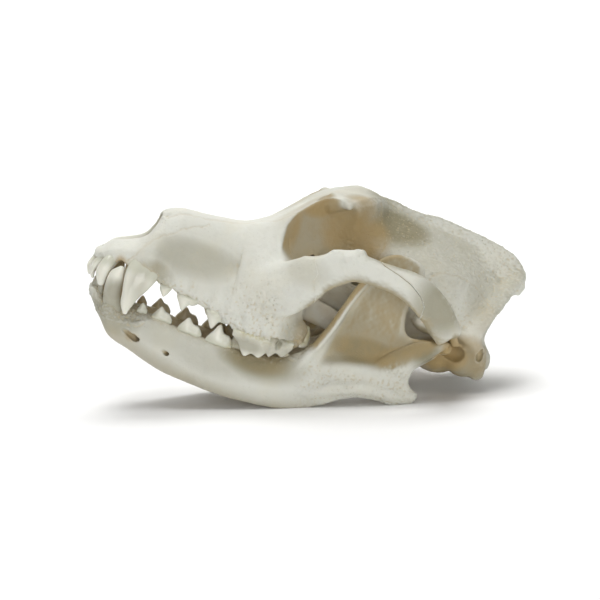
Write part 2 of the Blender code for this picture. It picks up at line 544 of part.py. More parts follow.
def sheet(line, low, high, upright=False):
    """A slab as thick as a seam along a line, from low to high across it."""
    line = np.array(line, float)
    way = np.gradient(line, axis=0)
    way /= np.linalg.norm(way, axis=1)[:, None]
    off = np.stack([-way[:, 1], way[:, 0]], axis=1) * SEAM / 2
    edge = np.concatenate([line + off, (line - off)[::-1]])
    if upright:
        return skin([[(x, y, z) for x, y in edge] for z in (low, high)])
    return skin([[(x, y, z) for x, z in edge] for y in (low, high)])


def box(low, high):
    """A closed box between two opposite corners."""
    (a, b, c), (d, e, f) = low, high
    return skin([[(a, b, z), (d, b, z), (d, e, z), (a, e, z)] for z in (c, f)])


def simplify(body, faces, symmetric):
    """Fewer and larger triangles, close to the modelled surface, whose faces have four sides."""
    decimate = body.modifiers.new("simplify", "DECIMATE")
    decimate.ratio = faces / (2 * len(body.data.polygons))
    decimate.use_symmetry = symmetric
    decimate.symmetry_axis = "Y"
    return apply(body)


def boolean(body, pieces, operation):
    """Closed pieces added to the body, or taken from it, just as they are."""
    group = bpy.data.collections.new("pieces")
    for piece in pieces:
        other = mesh_of("piece", [piece])
        bpy.context.scene.collection.objects.unlink(other)
        group.objects.link(other)
    bpy.context.scene.collection.children.link(group)
    cut = body.modifiers.new("boolean", "BOOLEAN")
    cut.operation = operation
    cut.operand_type = "COLLECTION"
    cut.collection = group
    cut.solver = SOLVER
    apply(body)
    for other in list(group.objects):
        bpy.data.objects.remove(other)
    bpy.data.collections.remove(group)
    return body


def shells(body):
    """Each closed surface of the body as a set of its points, the largest first."""
    count = len(body.data.vertices)
    label = np.arange(count)
    edges = np.empty(len(body.data.edges) * 2, np.int32)
    body.data.edges.foreach_get("vertices", edges)
    a, b = edges.reshape(-1, 2).T
    while True:
        low = np.minimum(label[a], label[b])
        grown = label.copy()
        np.minimum.at(grown, a, low)
        np.minimum.at(grown, b, low)
        grown = grown[grown]
        if (grown == label).all():
            break
        label = grown
    names, sizes = np.unique(label, return_counts=True)
    return [np.flatnonzero(label == name) for name in names[np.argsort(-sizes)]]


def part_of(body, name, points):
    """A new object with only these points of the body and the faces among them."""
    keep = set(points.tolist())
    mesh = bmesh.new()
    mesh.from_mesh(body.data)
    mesh.verts.ensure_lookup_table()
    bmesh.ops.delete(mesh, geom=[v for v in mesh.verts if v.index not in keep], context="VERTS")
    bmesh.ops.triangulate(mesh, faces=mesh.faces)
    data = bpy.data.meshes.new(name)
    mesh.to_mesh(data)
    mesh.free()
    part = bpy.data.objects.new(name, data)
    bpy.context.scene.collection.objects.link(part)
    return part


def bone_name(points):
    """Which bone a parted piece of the skull is, from where it lies."""
    x, y, _ = (points.min(axis=0) + points.max(axis=0)) / 2
    if abs(y) < MIDDLE_HALF:
        return "snout" if x < SNOUT_END else "braincase"
    return ("cheekbone" if x < CHEEK_END else "temporal_arch") + ("_right" if y > 0 else "_left")


def bones():
    """Every bone of the skull and jaw, with its teeth, in the skull's frame."""
    skull = simplify(cranium(VOXEL), CRANIUM_FACES, symmetric=True)
    cuts = sides(sheet(*CHEEK_SUTURE), sheet(*TEMPORAL_CUT, upright=True))
    boolean(skull, [sheet(*FACE_CUT), *cuts], "DIFFERENCE")
    positions = np.array([v.co[:] for v in skull.data.vertices])
    parts = {}
    for points in shells(skull)[:SKULL_BONES]:
        name = bone_name(positions[points])
        parts[name] = part_of(skull, name, points)
    bpy.data.objects.remove(skull)
    boolean(parts["snout"], sides(*teeth(UPPER_POINTED, UPPER_CHEEK, -1)), "UNION")
    right = simplify(jaw(VOXEL), JAW_FACES, symmetric=False)
    boolean(right, teeth(LOWER_POINTED, LOWER_CHEEK, 1), "UNION")
    boolean(right, [box((-20, -20, -60), (60, SEAM / 2, 30))], "DIFFERENCE")
    left = right.copy()
    left.data = right.data.copy()
    left.name = "mandible_left"
    bpy.context.scene.collection.objects.link(left)
    left.data.transform(Matrix.Diagonal((1, -1, 1, 1)))
    left.data.flip_normals()
    parts["mandible_right"] = right
    parts["mandible_left"] = left
    return parts


def resting_tilt(jaw_points):
    """The angle at which the jaw's belly and its rear corner are level, and their height."""
    tilt = radians(TILT)
    x, z = jaw_points[:, 0], jaw_points[:, 2]
    for _ in range(5):
        along, up = x * cos(tilt) + z * sin(tilt), z * cos(tilt) - x * sin(tilt)
        belly = np.where(x < JAW_SPLIT, up, np.inf).argmin()
        corner = np.where(x > JAW_SPLIT, up, np.inf).argmin()
        tilt += (up[corner] - up[belly]) / (along[corner] - along[belly])
    return tilt, up[belly]


def stand(parts):
    """Tip the bones to their resting angle, flatten what they rest on and set them on the floor."""
    jaw_points = np.array([v.co[:] for v in parts["mandible_left"].data.vertices])
    tilt, lowest = resting_tilt(jaw_points)
    floor = (lowest + FOOT) / 1000
    tip = Matrix.Diagonal((0.001, 0.001, 0.001, 1)) @ Matrix.Rotation(tilt, 4, "Y")
    for part in parts.values():
        part.data.transform(tip)
    everything = np.array([v.co[:] for part in parts.values() for v in part.data.vertices])
    low, high = everything.min(axis=0), everything.max(axis=0)
    for name in ("mandible_left", "mandible_right"):
        below = box((0, -0.1, floor - 0.05), (0.3, 0.1, floor))
        boolean(parts[name], [below], "DIFFERENCE")
    shift = Matrix.Translation((-(low[0] + high[0]) / 2, -(low[1] + high[1]) / 2, -floor))
    for part in parts.values():
        part.data.transform(shift)


parts = bones()
stand(parts)
for name, part in parts.items():
    largest = part_of(part, name + "_whole", shells(part)[0])
    bpy.data.objects.remove(part)
    largest.name = name
    bone = bpy.data.materials.new(name)
    bone.use_nodes = True
    surface = bone.node_tree.nodes["Principled BSDF"]
    surface.inputs["Base Color"].default_value = BONE
    surface.inputs["Roughness"].default_value = BONE_ROUGHNESS
    largest.data.materials.append(bone)
    largest.data.shade_smooth()
    largest.data.set_sharp_from_angle(angle=radians(SHARP))
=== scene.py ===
"""A dog's skull with its lower jaw, resting on a pale table: its finished bone, teeth and light."""
from math import cos, pi, radians, sin, tau

import bmesh
import bpy
import numpy as np
from mathutils import Matrix, Quaternion, Vector
from mathutils.bvhtree import BVHTree


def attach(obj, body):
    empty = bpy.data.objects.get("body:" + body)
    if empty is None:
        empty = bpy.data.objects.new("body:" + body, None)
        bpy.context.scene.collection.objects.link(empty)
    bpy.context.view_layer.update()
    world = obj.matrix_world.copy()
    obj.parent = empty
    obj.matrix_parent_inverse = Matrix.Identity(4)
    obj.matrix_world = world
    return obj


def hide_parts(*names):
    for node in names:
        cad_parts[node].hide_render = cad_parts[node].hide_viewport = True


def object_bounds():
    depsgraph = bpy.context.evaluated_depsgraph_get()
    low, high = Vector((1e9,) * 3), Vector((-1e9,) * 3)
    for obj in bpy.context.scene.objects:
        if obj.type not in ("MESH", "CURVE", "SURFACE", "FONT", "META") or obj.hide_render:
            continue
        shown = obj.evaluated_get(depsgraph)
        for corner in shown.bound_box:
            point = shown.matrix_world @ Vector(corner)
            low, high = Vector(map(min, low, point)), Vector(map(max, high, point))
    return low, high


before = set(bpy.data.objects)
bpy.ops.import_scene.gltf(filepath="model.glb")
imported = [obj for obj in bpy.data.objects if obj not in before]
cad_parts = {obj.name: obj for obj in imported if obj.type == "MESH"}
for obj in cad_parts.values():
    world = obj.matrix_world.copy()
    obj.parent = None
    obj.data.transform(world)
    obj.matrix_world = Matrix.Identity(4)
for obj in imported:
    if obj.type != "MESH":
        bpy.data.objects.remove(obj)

solid_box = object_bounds()


# The cranium: one thin-walled box of dry bone from the front teeth to the crest, whose bones
# have grown together. It is shaped in millimetres in the skull's own frame, x back from the
# front teeth, y to the dog's right and z up from the palate, and tipped to rest at the end.
GRAIN = 0.5             # between the points of the finished surface
FLOWS = (0.8 / GRAIN)**2        # smoothing passes, for each one that a coarser surface needs
SOLVER = "MANIFOLD"
CREASE = 0.08           # how deep a point lies below its neighbours in a full crease, in grains
CREST_TOP = 198.0       # how far back the crest of the skull reaches
REST_TILT = 19.766      # how far the nose is up as the skull lies on its jaw
REST_PLACE = (-100.79, 0, 67.622)      # where the front of the palate lies then
HINGE_RADIUS = 3.0      # of the jaw's condyle
HINGE_PLAY = 0.7        # between the condyle and its socket


def spline(rows, count):
    """Rows of numbers turned into count rows along a smooth curve through them."""
    rows = np.array(rows, float)
    last = len(rows) - 1
    t = np.linspace(0, last, count)
    i = np.minimum(t.astype(int), last - 1)
    u = (t - i)[:, None]
    before = np.where((i == 0)[:, None], 2 * rows[0] - rows[1], rows[np.maximum(i - 1, 0)])
    after = np.where((i == last - 1)[:, None], 2 * rows[last] - rows[last - 1],
                     rows[np.minimum(i + 2, last)])
    return blend(before, rows[i], rows[i + 1], after, u)


def loop(rows, count):
    """The same round a closed outline."""
    rows = np.array(rows, float)
    t = np.linspace(0, len(rows), count, endpoint=False)
    i = t.astype(int)
    p = [rows[(i + k) % len(rows)] for k in (-1, 0, 1, 2)]
    return blend(*p, (t - i)[:, None])


def blend(a, b, c, d, u):
    """A point at u from 0 to 1 on the smooth curve between b and c."""
    return (2 * b + (c - a) * u + (2 * a - 5 * b + 4 * c - d) * u**2
            + (3 * b - a - 3 * c + d) * u**3) / 2


def skin(rings):
    """Points and faces of a closed surface over rings that hold the same number of points."""
    rings = np.array(rings, float)
    count, around = rings.shape[:2]
    faces = []
    for r in range(count - 1):
        for k in range(around):
            a = r * around + k
            b = r * around + (k + 1) % around
            faces.append((a, b, b + around, a + around))
    faces.append(tuple(range(around - 1, -1, -1)))
    faces.append(tuple((count - 1) * around + k for k in range(around)))
    points = rings.reshape(-1, 3)
    middle = points.mean(axis=0)
    volume = 0
    for a, b, c in [f[:3] for f in faces[:-2]]:
        volume += np.dot(points[a] - middle, np.cross(points[b] - middle, points[c] - middle))
    if volume < 0:
        faces = [f[::-1] for f in faces]
    return points, faces


def loft(stations, half, count=120, around=128):
    """A surface along x whose cross-sections are mirrored half outlines."""
    rings = []
    for row in spline(stations, count):
        right = half(*row[1:])
        left = [(-y, z) for y, z in right[-2:0:-1]]
        rings.append([(row[0], y, z) for y, z in loop(right + left, around)])
    return skin(rings)


def rod(rows, up=(0, 0, 1), around=32, count=None, caps=6):
    """A bar through rows of x, y, z, half width and half height, with rounded ends."""
    rows = spline(rows, count or 12 * len(rows))
    middle, wide, high = rows[:, :3], rows[:, 3], rows[:, 4]
    ahead = np.gradient(middle, axis=0)
    ahead /= np.linalg.norm(ahead, axis=1)[:, None]
    turn = np.arange(around) * tau / around
    rings = []
    steps = [(0, -1, k) for k in range(caps, 0, -1)] + [(i, 0, 0) for i in range(len(rows))]
    steps += [(len(rows) - 1, 1, k) for k in range(1, caps + 1)]
    for i, end, k in steps:
        bend = k / (caps + 0.3) * pi / 2
        side = np.cross(up, ahead[i])
        side /= np.linalg.norm(side)
        top = np.cross(ahead[i], side)
        centre = middle[i] + ahead[i] * end * min(wide[i], high[i]) * sin(bend)
        rings.append(centre + np.outer(np.cos(turn) * wide[i] * cos(bend), side)
                     + np.outer(np.sin(turn) * high[i] * cos(bend), top))
    return skin(rings)


def egg(centre, radii, lean=0.0, swing=0.0, detail=5):
    """An ellipsoid, leaned about y and swung about z."""
    ball = bmesh.new()
    bmesh.ops.create_icosphere(ball, subdivisions=detail, radius=1)
    turn = Matrix.Rotation(radians(swing), 4, "Z") @ Matrix.Rotation(radians(lean), 4, "Y")
    bmesh.ops.transform(ball, verts=ball.verts,
                        matrix=Matrix.Translation(centre) @ turn @ Matrix.Diagonal((*radii, 1)))
    points = np.array([v.co[:] for v in ball.verts])
    faces = [tuple(v.index for v in f.verts) for f in ball.faces]
    ball.free()
    return points, faces


def fin(outline, half_widths, count=90):
    """An upright plate over an x, z outline; each half width takes the outline lower."""
    layers = [(-width, drop) for width, drop in half_widths[::-1]] + half_widths
    edge = loop(outline, count)
    return skin([[(x, y, z - drop * (z > outline[-1][1])) for x, z in edge] for y, drop in layers])


def sides(*pieces):
    """Each piece and its mirror image."""
    return [s for p in pieces for s in (p, (p[0] * (1, -1, 1), [f[::-1] for f in p[1]]))]


def in_scene(name, data):
    """A new object that shows this mesh, lamp or camera."""
    body = bpy.data.objects.new(name, data)
    bpy.context.scene.collection.objects.link(body)
    return body


def mesh_of(name, pieces):
    """One object holding every piece as a shell of its own."""
    points, faces, start = [], [], 0
    for p, f in pieces:
        points.append(p)
        faces += [tuple(i + start for i in face) for face in f]
        start += len(p)
    mesh = bpy.data.meshes.new(name)
    mesh.from_pydata(np.concatenate(points).tolist(), [], faces)
    return in_scene(name, mesh)


def apply(body):
    """Its modifiers become part of its mesh."""
    graph = bpy.context.evaluated_depsgraph_get()
    mesh = bpy.data.meshes.new_from_object(body.evaluated_get(graph))
    body.modifiers.clear()
    body.data = mesh
    return body


def fuse(body, voxel=GRAIN):
    """Every shell of the body becomes one skin."""
    remesh = body.modifiers.new("fuse", "REMESH")
    remesh.mode = "VOXEL"
    remesh.voxel_size = voxel
    return apply(body)


def merge(body, other, operation):
    """The other body is added to this one or taken from it, and is gone."""
    boolean = body.modifiers.new("merge", "BOOLEAN")
    boolean.operation = operation
    boolean.solver = SOLVER
    boolean.object = other
    apply(body)
    bpy.data.objects.remove(other)


def combine(body, pieces, operation):
    """The same with pieces that are fused together first."""
    merge(body, fuse(mesh_of("other", pieces)), operation)


def speckle(points, size, seed=0):
    """Smooth noise from -1 to 1 at each point, in lumps of about this size."""
    place = points / size + seed * 17.31
    cell = np.floor(place).astype(np.int64)
    part = place - cell
    part = part * part * (3 - 2 * part)
    total = np.zeros(len(points))
    for corner in np.ndindex(2, 2, 2):
        x, y, z = (cell + corner).T
        draw = (x * 73856093) ^ (y * 19349663) ^ (z * 83492791)
        draw = (draw * 2654435761 >> 9) & 0xFFFF
        total += np.prod(np.where(corner, part, 1 - part), axis=1) * (draw / 32767.5 - 1)
    return total


def speckles(points, seed, *kinds):
    """Speckle of several sizes, each with its strength and the next seed."""
    return sum(speckle(points, size, seed + k) * strength
               for k, (size, strength) in enumerate(kinds))


def step(value, low, high):
    """0 below low, 1 above high and smooth between; high may be the smaller of the two."""
    part = np.clip((value - low) / (high - low), 0, 1)
    return part * part * (3 - 2 * part)


def bell(value, width):
    """1 where the value is 0, fading on both sides over this width."""
    return np.exp(-(value / width)**2)


def read_off(line, x):
    """The second number of a line of points, where its first is x."""
    return np.interp(x, *np.transpose(line))


def distance_along(line, points):
    """How far each point is from an open line, in as many dimensions as the line has."""
    line = np.array(line, float)
    nearest = np.full(len(points), np.inf)
    for a, b in zip(line[:-1], line[1:]):
        part = np.clip((points - a) @ (b - a) / ((b - a) @ (b - a)), 0, 1)
        gap = np.linalg.norm(points - a - part[:, None] * (b - a), axis=1)
        nearest = np.minimum(nearest, gap)
    return nearest


def read(items, field, width=3, kind=np.float32):
    """One field of all of a mesh's points or edges, with a row for each."""
    values = np.empty(len(items) * width, kind)
    items.foreach_get(field, values)
    return values.reshape(-1, width)


class Clay:
    """A body's points as arrays, to be smoothed and pressed."""

    def __init__(self, body):
        self.mesh = body.data
        self.points = read(self.mesh.vertices, "co").astype(float)
        self.edges = read(self.mesh.edges, "vertices", 2, np.int32)
        self.reach = np.bincount(self.edges.ravel(), minlength=len(self.points))[:, None]
        self.settle()

    def settle(self):
        """The points go back to the mesh, which gives their normals."""
        self.mesh.vertices.foreach_set("co", self.points.astype(np.float32).ravel())
        self.mesh.update()
        self.normals = read(self.mesh.vertices, "normal").astype(float)

    def around(self, values):
        """The mean of each point's neighbours."""
        a, b = self.edges.T
        total = np.bincount(a, values[b], len(values)) + np.bincount(b, values[a], len(values))
        return total / self.reach[:, 0]

    def drift(self):
        """The way from each point to the middle of its neighbours."""
        return np.stack([self.around(column) for column in self.points.T], axis=1) - self.points

    def fill(self, passes):
        """Creases fill up while ridges and rims stay sharp."""
        for done in range(passes):
            if done % 4 == 0:
                self.settle()
            way = self.drift()
            rises = (way * self.normals).sum(axis=1) > 0
            self.points += way * rises[:, None] / 2
        self.settle()

    def smooth(self, passes):
        """All of it softens alike."""
        for _ in range(passes):
            self.points += self.drift() / 2
        self.settle()

    def press(self, centre, radii, depth, way=None):
        """A round dent, or a swelling where depth is negative, on both sides of the skull."""
        for side in (1, -1):
            offset = (self.points - np.array(centre) * (1, side, 1)) / radii
            near = step(np.linalg.norm(offset, axis=1), 1, 0)
            push = -self.normals if way is None else np.array(way) * (1.0, side, 1.0)
            self.points += push * (near * depth)[:, None]
        self.settle()

    def raise_by(self, height):
        """Each point moves out along its normal."""
        self.points += self.normals * height[:, None]
        self.settle()

    def mirrored(self):
        """The points with the left side turned over onto the right."""
        return self.points * np.where(self.points[:, 1:2] < 0, (1, -1, 1), 1)

    def creases(self):
        """How far each point lies in a small hollow, from -1 on sharp ridges to 1."""
        sink = (self.drift() * self.normals).sum(axis=1)
        for _ in range(2):
            sink = (sink + self.around(sink)) / 2
        return np.clip(sink / (CREASE * GRAIN), -1, 1)

    def ridge(self, line, width, height):
        """A rounded ridge along a 3-D line on both sides, or a groove where height is negative."""
        near = distance_along(spline(line, 8 * len(line)), self.mirrored())
        self.raise_by(height * bell(near, width))


def face_half(top, nasal_y, nasal_z, wall_y, wall_z, gum_y, gum_z, palate_z):
    """Half a cross-section, from the nose's top line round to the middle of the palate."""
    return [(0, top), (nasal_y * 0.6, top - (top - nasal_z) * 0.15), (nasal_y, nasal_z),
            ((nasal_y + wall_y) / 2 + 0.5, (nasal_z + wall_z) / 2), (wall_y, wall_z),
            (gum_y, wall_z * 0.45 + gum_z * 0.55), (gum_y, gum_z), (gum_y - 5, gum_z - 0.5),
            (gum_y * 0.45, gum_z * 0.4 + palate_z * 0.6 + 1), (0, palate_z)]


FACE = [
    # x, top, nasal y and z, side wall y and z, gum y and z, palate z
    (-0.5, 8.5, 4, 8.3, 6.5, 7, 6.5, 5.2, 4.5),
    (3, 11, 7, 10.5, 11, 8.5, 10.5, 5, 4.5),
    (7, 15, 8, 14.5, 13.5, 10.5, 13.5, 5.5, 5),
    (13, 17.8, 9, 17, 15.5, 12.5, 15.8, 6, 6),
    (19, 21, 10, 20, 18, 14, 19, 6.5, 6),
    (22, 26.5, 10, 24, 18.3, 15, 20, 6.5, 6),
    (25, 33, 9, 29.5, 18, 17, 20.2, 5.4, 5.5),
    (32, 36.8, 9.5, 33.5, 17, 20, 19, 3.4, 5),
    (45, 37.6, 9, 35.5, 17, 20, 19, 0.8, 4.5),
    (57, 38.6, 9.5, 36.5, 18.5, 21, 21.5, -2.4, 4),
    (61.5, 39.2, 10.3, 37.3, 19.2, 21, 23.6, -4, 3.5),
    (65, 40.3, 11.8, 38.4, 24.8, 20, 26.8, -5, 3.2),
    (74, 45, 17, 43, 27.5, 23, 31, -7, 2),
    (82, 51.5, 21.5, 50, 29.5, 26, 32.5, -7, 2),
    (90, 59, 25, 57.5, 30, 24, 32, -6.5, 3),
    (97, 63, 25, 60, 22, 25, 27, -4, 5),
]

UPPER_GUM = [(row[0], row[7]) for row in FACE]


def brain_half(top, brow_y, brow_z, wall_y, wall_z, low_y, low_z, base_z):
    """Half a cross-section, from the top line round to the middle of the base."""
    return [(0, top), (brow_y * 0.55, top - (top - brow_z) * 0.35), (brow_y, brow_z),
            (brow_y * 0.35 + wall_y * 0.65, (brow_z + wall_z) / 2), (wall_y, wall_z),
            (wall_y * 0.4 + low_y * 0.6, (wall_z + low_z) / 2), (low_y, low_z),
            (low_y * 0.75, (low_z + base_z) / 2), (low_y * 0.42, base_z), (0, base_z)]


BRAINCASE = [
    # x, top, brow y and z, side wall y and z, lower wall y and z, base z
    (78, 47, 12, 45, 12, 34, 12, 20, 9),
    (90, 60, 24, 58, 14.5, 41, 13.5, 22, 9),
    (97, 65.5, 27, 61, 15.5, 43, 13.5, 22, 10),
    (104, 69, 28, 60.5, 16.5, 43, 13.5, 22, 11),
    (110, 71, 23.5, 62, 17, 43, 13, 22, 11.5),
    (118, 69.5, 15, 65, 17.5, 43, 13, 22, 11.5),
    (126, 66, 9, 62.5, 20.5, 42, 16, 22, 10.5),
    (135, 63, 9, 60, 25.5, 40, 22, 22, 8),
    (146, 62, 11, 58, 29, 38, 26, 21, 6),
    (158, 60.5, 12, 55.5, 29.5, 35, 28, 19, 4.5),
    (168, 59, 12, 52, 28.5, 31, 29, 16, 4.5),
    (176, 57, 9, 49, 26, 30, 28, 15, 5),
    (182, 55, 7, 48, 21, 34, 20, 20, 7),
    (186, 54, 5, 48, 16, 40, 13, 31, 20),
    (191, 53, 4, 49, 9, 44, 9, 41, 36),
    (196, 51, 2, 49.5, 3.5, 47, 3.5, 45.5, 43.5),
]

CREST = [(116, 67), (126, 68.3), (134, 67), (141, 66.4), (150, 66.8), (158, 66), (166, 65),
         (174, 64), (183, 62), (189, 60), (193.5, 57.5), (196.8, 53), (CREST_TOP, 47), (197, 43.5),
         (190, 40), (176, 42), (150, 46), (122, 50)]
CREST_HALF_WIDTHS = [(1.3, 0), (2.6, 3.5), (5, 9)]      # and how far each lies below the top
# x, y, z, half width and half height along each bar of bone
ARCH_FRONT = [(74, 25, 12, 6, 12), (83, 32, 16, 5.5, 12.5), (90, 38, 22, 4.6, 11.5),
              (96, 42, 29, 4, 9.5), (102, 45.6, 33.5, 3.4, 8.4), (108, 48.6, 36.2, 3, 7.2),
              (114, 50.9, 36.8, 2.8, 6.3), (120, 52.6, 36.6, 2.7, 5.8), (127, 53.8, 36.3, 2.7, 6),
              (135, 54.2, 35.2, 2.8, 7), (142.5, 53.6, 32.2, 2.8, 7.6), (148, 52.4, 28.5, 2.8, 7.6)]
ARCH_REAR = [(146, 52.8, 30, 2.8, 7.5), (150.5, 52, 26.5, 2.8, 7.5), (154.5, 50, 22.8, 3, 7.3),
             (157.6, 46.6, 19.8, 3.2, 7), (158.5, 41.5, 19.2, 3.4, 7.2), (158.5, 35, 20, 4, 7.8),
             (158, 26, 21, 5, 8)]
CHEEK_PROCESS = [(106, 47.6, 39, 3.4, 4), (109.4, 47.4, 41.8, 2.7, 3.4),
                 (111.5, 47.2, 42.6, 2.2, 2.4)]
BROW_PROCESS = [(97, 18, 60, 4, 5), (101, 24, 61, 2.6, 2.6), (103.2, 26.8, 60.2, 1.4, 1.4)]
NASAL_TIP = [(25, 3.2, 32.3, 3, 1), (29, 3.6, 34.3, 4, 1.5), (35, 4, 35.4, 4.5, 1.8)]
ARCH_FOOT = [(153, 51.5, 25, 4, 2.6), (153.6, 50.8, 21, 4.4, 2.6), (158, 48.8, 17.4, 5.2, 1.8)]
NUCHAL_CREST = [(194, 0, 50, 4, 4.5), (191, 8, 47.4, 2.2, 5), (186, 16, 41.8, 1.8, 5),
                (180.6, 24, 34, 1.8, 4.8), (175.6, 29, 25.6, 2, 4.4), (173.6, 31, 17, 2.4, 4.6)]
MASTOID = [(168, 29, 19, 3, 3), (173.5, 30.5, 18, 3.4, 3), (178, 30, 14.5, 3.4, 2.8),
           (180, 28, 8, 3.4, 2.6)]
EAR_MASS = ((175, 23.5, 8), (9, 6.5, 8.4))      # bone between the ear and the back of the skull
EAR_RIDGE = [(170.5, 29.5, 11.4, 1, 1), (174.6, 30.4, 14.6, 1.2, 1.1), (180, 28, 16.8, 1.4, 1.1)]
PARACONDYLAR = [(178.5, 25, 13, 6, 3.4), (181.6, 25.5, 6.4, 4.4, 2.8), (182.6, 25, 2.2, 3.2, 2.2)]
CONDYLE = [(176, 5, 7, 5, 4), (182.5, 8, 6.5, 4, 4.6), (186, 12.5, 8.8, 4.2, 6.4),
           (181, 16, 15, 4, 5)]
RETROARTICULAR = [(164, 37.5, 17.6, 1.6, 2), (165.8, 34.2, 14, 1.8, 3), (166.6, 30.5, 11.6, 2, 4.4),
                  (165, 26, 11.5, 3, 5)]
PTERYGOID = [(92, 13.5, 11, 3, 6), (106, 11, 8.5, 1.5, 6), (118, 10, 6, 1.2, 5), (126, 10, 3, 1, 3)]
ARCH_SHELF = ((153.5, 29, 19.5), (8, 9.5, 4.6))       # centre and radii
BULLA = ((162, 17.5, 6.5), (13, 9, 9), 8, -18)        # with its lean and swing
TUBER = ((94.6, 27, -1.8), (6.4, 5.2, 7.4))          # where the last upper molar sits
JAW_HINGE = [(161, 30.5, 10.2), (161.6, 34.5, 11), (161.7, 38.8, 12)]
# Hollows: egg shapes by centre and radii, and bores like the bars
EYE_SOCKET = ((96.5, 38, 44.5), (25, 24, 21.5))
TEMPLE = ((113, 46, 25), (15, 28, 15))
BEHIND_TEETH = ((112, 32, 8), (10.5, 18, 17))
EYE_FLOOR = ((86.5, 43, 46), (13.5, 18, 12.5))         # that sharpens the socket's lower rim
# The opening below the eye faces forward: a bore behind a sharp edge, and a dent that leads in
INFRAORBITAL = [(62.6, 20.4, 19, 0.9, 3.2), (66, 20, 19.4, 1.4, 4), (76, 18.5, 20, 1.6, 3)]
INFRAORBITAL_EDGE, INFRAORBITAL_HEIGHT = 63.4, 18.8
INFRAORBITAL_DENT = 1.5
NOSTRIL = [(-8, 0, 24, 8.4, 9), (8, 0, 22, 8.4, 9), (20, 0, 22.5, 8.6, 9.5),
           (32, 0, 22, 8.6, 10.5), (60, 0, 22, 8, 9)]
CHOANA = [(94, 0, 7, 7, 3.5), (102, 0, 8.5, 8, 5.5), (120, 0, 6.5, 8.6, 5.5), (136, 0, -3, 9, 6)]
FORAMEN_MAGNUM = [(202, 0, 14, 8, 6), (184, 0, 14, 7, 5.8), (166, 0, 19, 9, 8)]
PALATE = ((55, 0, -9), (36, 15, 9))
EAR_HOLE = ((167.8, 32, 9.6), (6, 8.5, 4.4))
EAR_PIT = ((180.2, 31, 12.4), (2, 3.4, 3.2))
CANINE_PIT = ((13.4, 13.6, 4.8), (3.2, 4.8, 3.1))      # that takes the lower canine's tip
# Dents, and a swelling over the canine's root: centre, radii and depth
CANINE_SWELL = (24, 19, 14), (9, 7, 12), -2.4
CHEEK_DENT = (44, 18, 15), (14, 10, 13), 2.0
BROW_DENT = (96, 0, 64), (34, 8, 14), 2.0
MUZZLE_DENT = (38, 17, 20), (17, 10, 7), 1.0
SEPTUM = [(30, 33), (27, 24), (31, 15), (58, 13.5), (58, 33)]      # x and z round its edge
SEPTUM_HALF = 0.5
# Rolled plates beside it: y and z of the middle, radius, turns, and the size along x
SCROLLS = [((4.2, 25.6), 3.9, 1.3, [(33, 0.8), (37, 1), (58, 1)]),
           ((4.6, 18), 3.8, 1.2, [(29, 0.75), (33, 1), (58, 1)])]
ROLLED_IN = 0.62        # how much of its radius a scroll has lost at its inner end
FILLING, SMOOTHING = 40, 3      # passes over the fused shapes
# Openings for nerves and vessels: centre and radii
SMALL_HOLES = [((20, 5, 4), (6, 2.4, 6)), ((63, 12.5, 2), (2.4, 1.2, 5)),
               ((118, 14, 28), (3, 6, 2)), ((125, 15, 23), (3.4, 6, 2.6)), ((131, 17, 18), (3, 5, 2.2)),
               ((147, 15.5, 5), (2.4, 1.8, 4)), ((172, 17, 4), (2.6, 1.6, 5)),
               ((179, 11.5, 6), (1.3, 1.3, 4)), ((84, 25.5, 42), (4, 1.6, 1.6)),
               ((95, 15, 33), (1.4, 5, 1.4))]
# Pits of the face and cheek: place and radius
PITS = [((32.9, 14, 30), 0.9), ((41.9, 13, 33), 0.7), ((54.6, 15, 33), 0.9), ((67.7, 22, 37), 0.9),
        ((61.1, 19, 26), 0.7), ((96.7, 42, 31.6), 1.1), ((82.4, 32, 8.2), 0.8),
        ((84, 32.4, 7.2), 0.8), ((73.3, 29, 0.1), 0.8), ((68.3, 27, -1.5), 0.7),
        ((76.1, 30.5, 3.3), 0.8), ((79, 31.5, 5.4), 0.6), ((86.5, 33, 9), 0.7),
        ((70.8, 28, 1.4), 0.6), ((30, 16, 8), 0.7), ((101, 44.5, 30), 0.6)]
# Brown, where old fat has stained the bone and as painted shade in dark hollows: centre, radii and
# strength
STAINS_AND_SHADE = [
    # round the eye socket and the temple
    ((104, 14, 47), (34, 18, 25), 0.5), ((115, 15, 46), (17, 14, 18), 0.95),
    ((110, 21, 60), (14, 10, 12), 0.7), ((128, 13, 52), (26, 14, 20), 0.2),
    ((94, 19, 61), (8, 6, 4), 0.6), ((122, 18, 36), (14, 12, 14), 0.7),
    # inside the arch, on the palate and in the nose
    ((112, 10, 14), (16, 10, 15), 0.45), ((147, 26, 16), (12, 14, 12), 0.45),
    ((90, 0, 3), (44, 16, 9), 0.6), ((99, 30, 0), (8, 9, 11), 0.5), ((103, 16, 0), (11, 10, 8), 0.8),
    ((40, 0, 22), (30, 9, 13), 0.9), ((12.8, 13, 6.4), (5, 6, 5), 1.0), ((27, 19, 9), (5, 5, 5), 0.35),
    # round the ear, the jaw's socket and the back of the base
    ((167, 30, 8), (13, 16, 11), 1.0), ((165, 36, 14), (8, 9, 8), 1.0),
    ((174, 32, 14), (14, 10, 9), 0.6), ((180, 27, 9), (14, 14, 14), 0.5),
    ((161, 28, 6), (14, 15, 12), 1.0), ((165, 17, 0), (26, 20, 14), 0.6),
    ((178, 0, 15), (22, 9, 9), 0.8), ((158, 36, 8), (12, 12, 10), 0.8),
    ((176, 26, 26), (14, 16, 16), 0.25)]
# Stain and painted shade as above, inside the eye socket only, brownest along its rim and at its rear
SOCKET_STAINS_AND_SHADE = [((96, 18, 46), (80, 60, 80), 0.5), ((80, 20, 44), (11, 13, 24), 0.8),
                 ((90, 20, 58), (22, 13, 13), 0.9), ((108, 18, 50), (22, 15, 22), 0.95)]
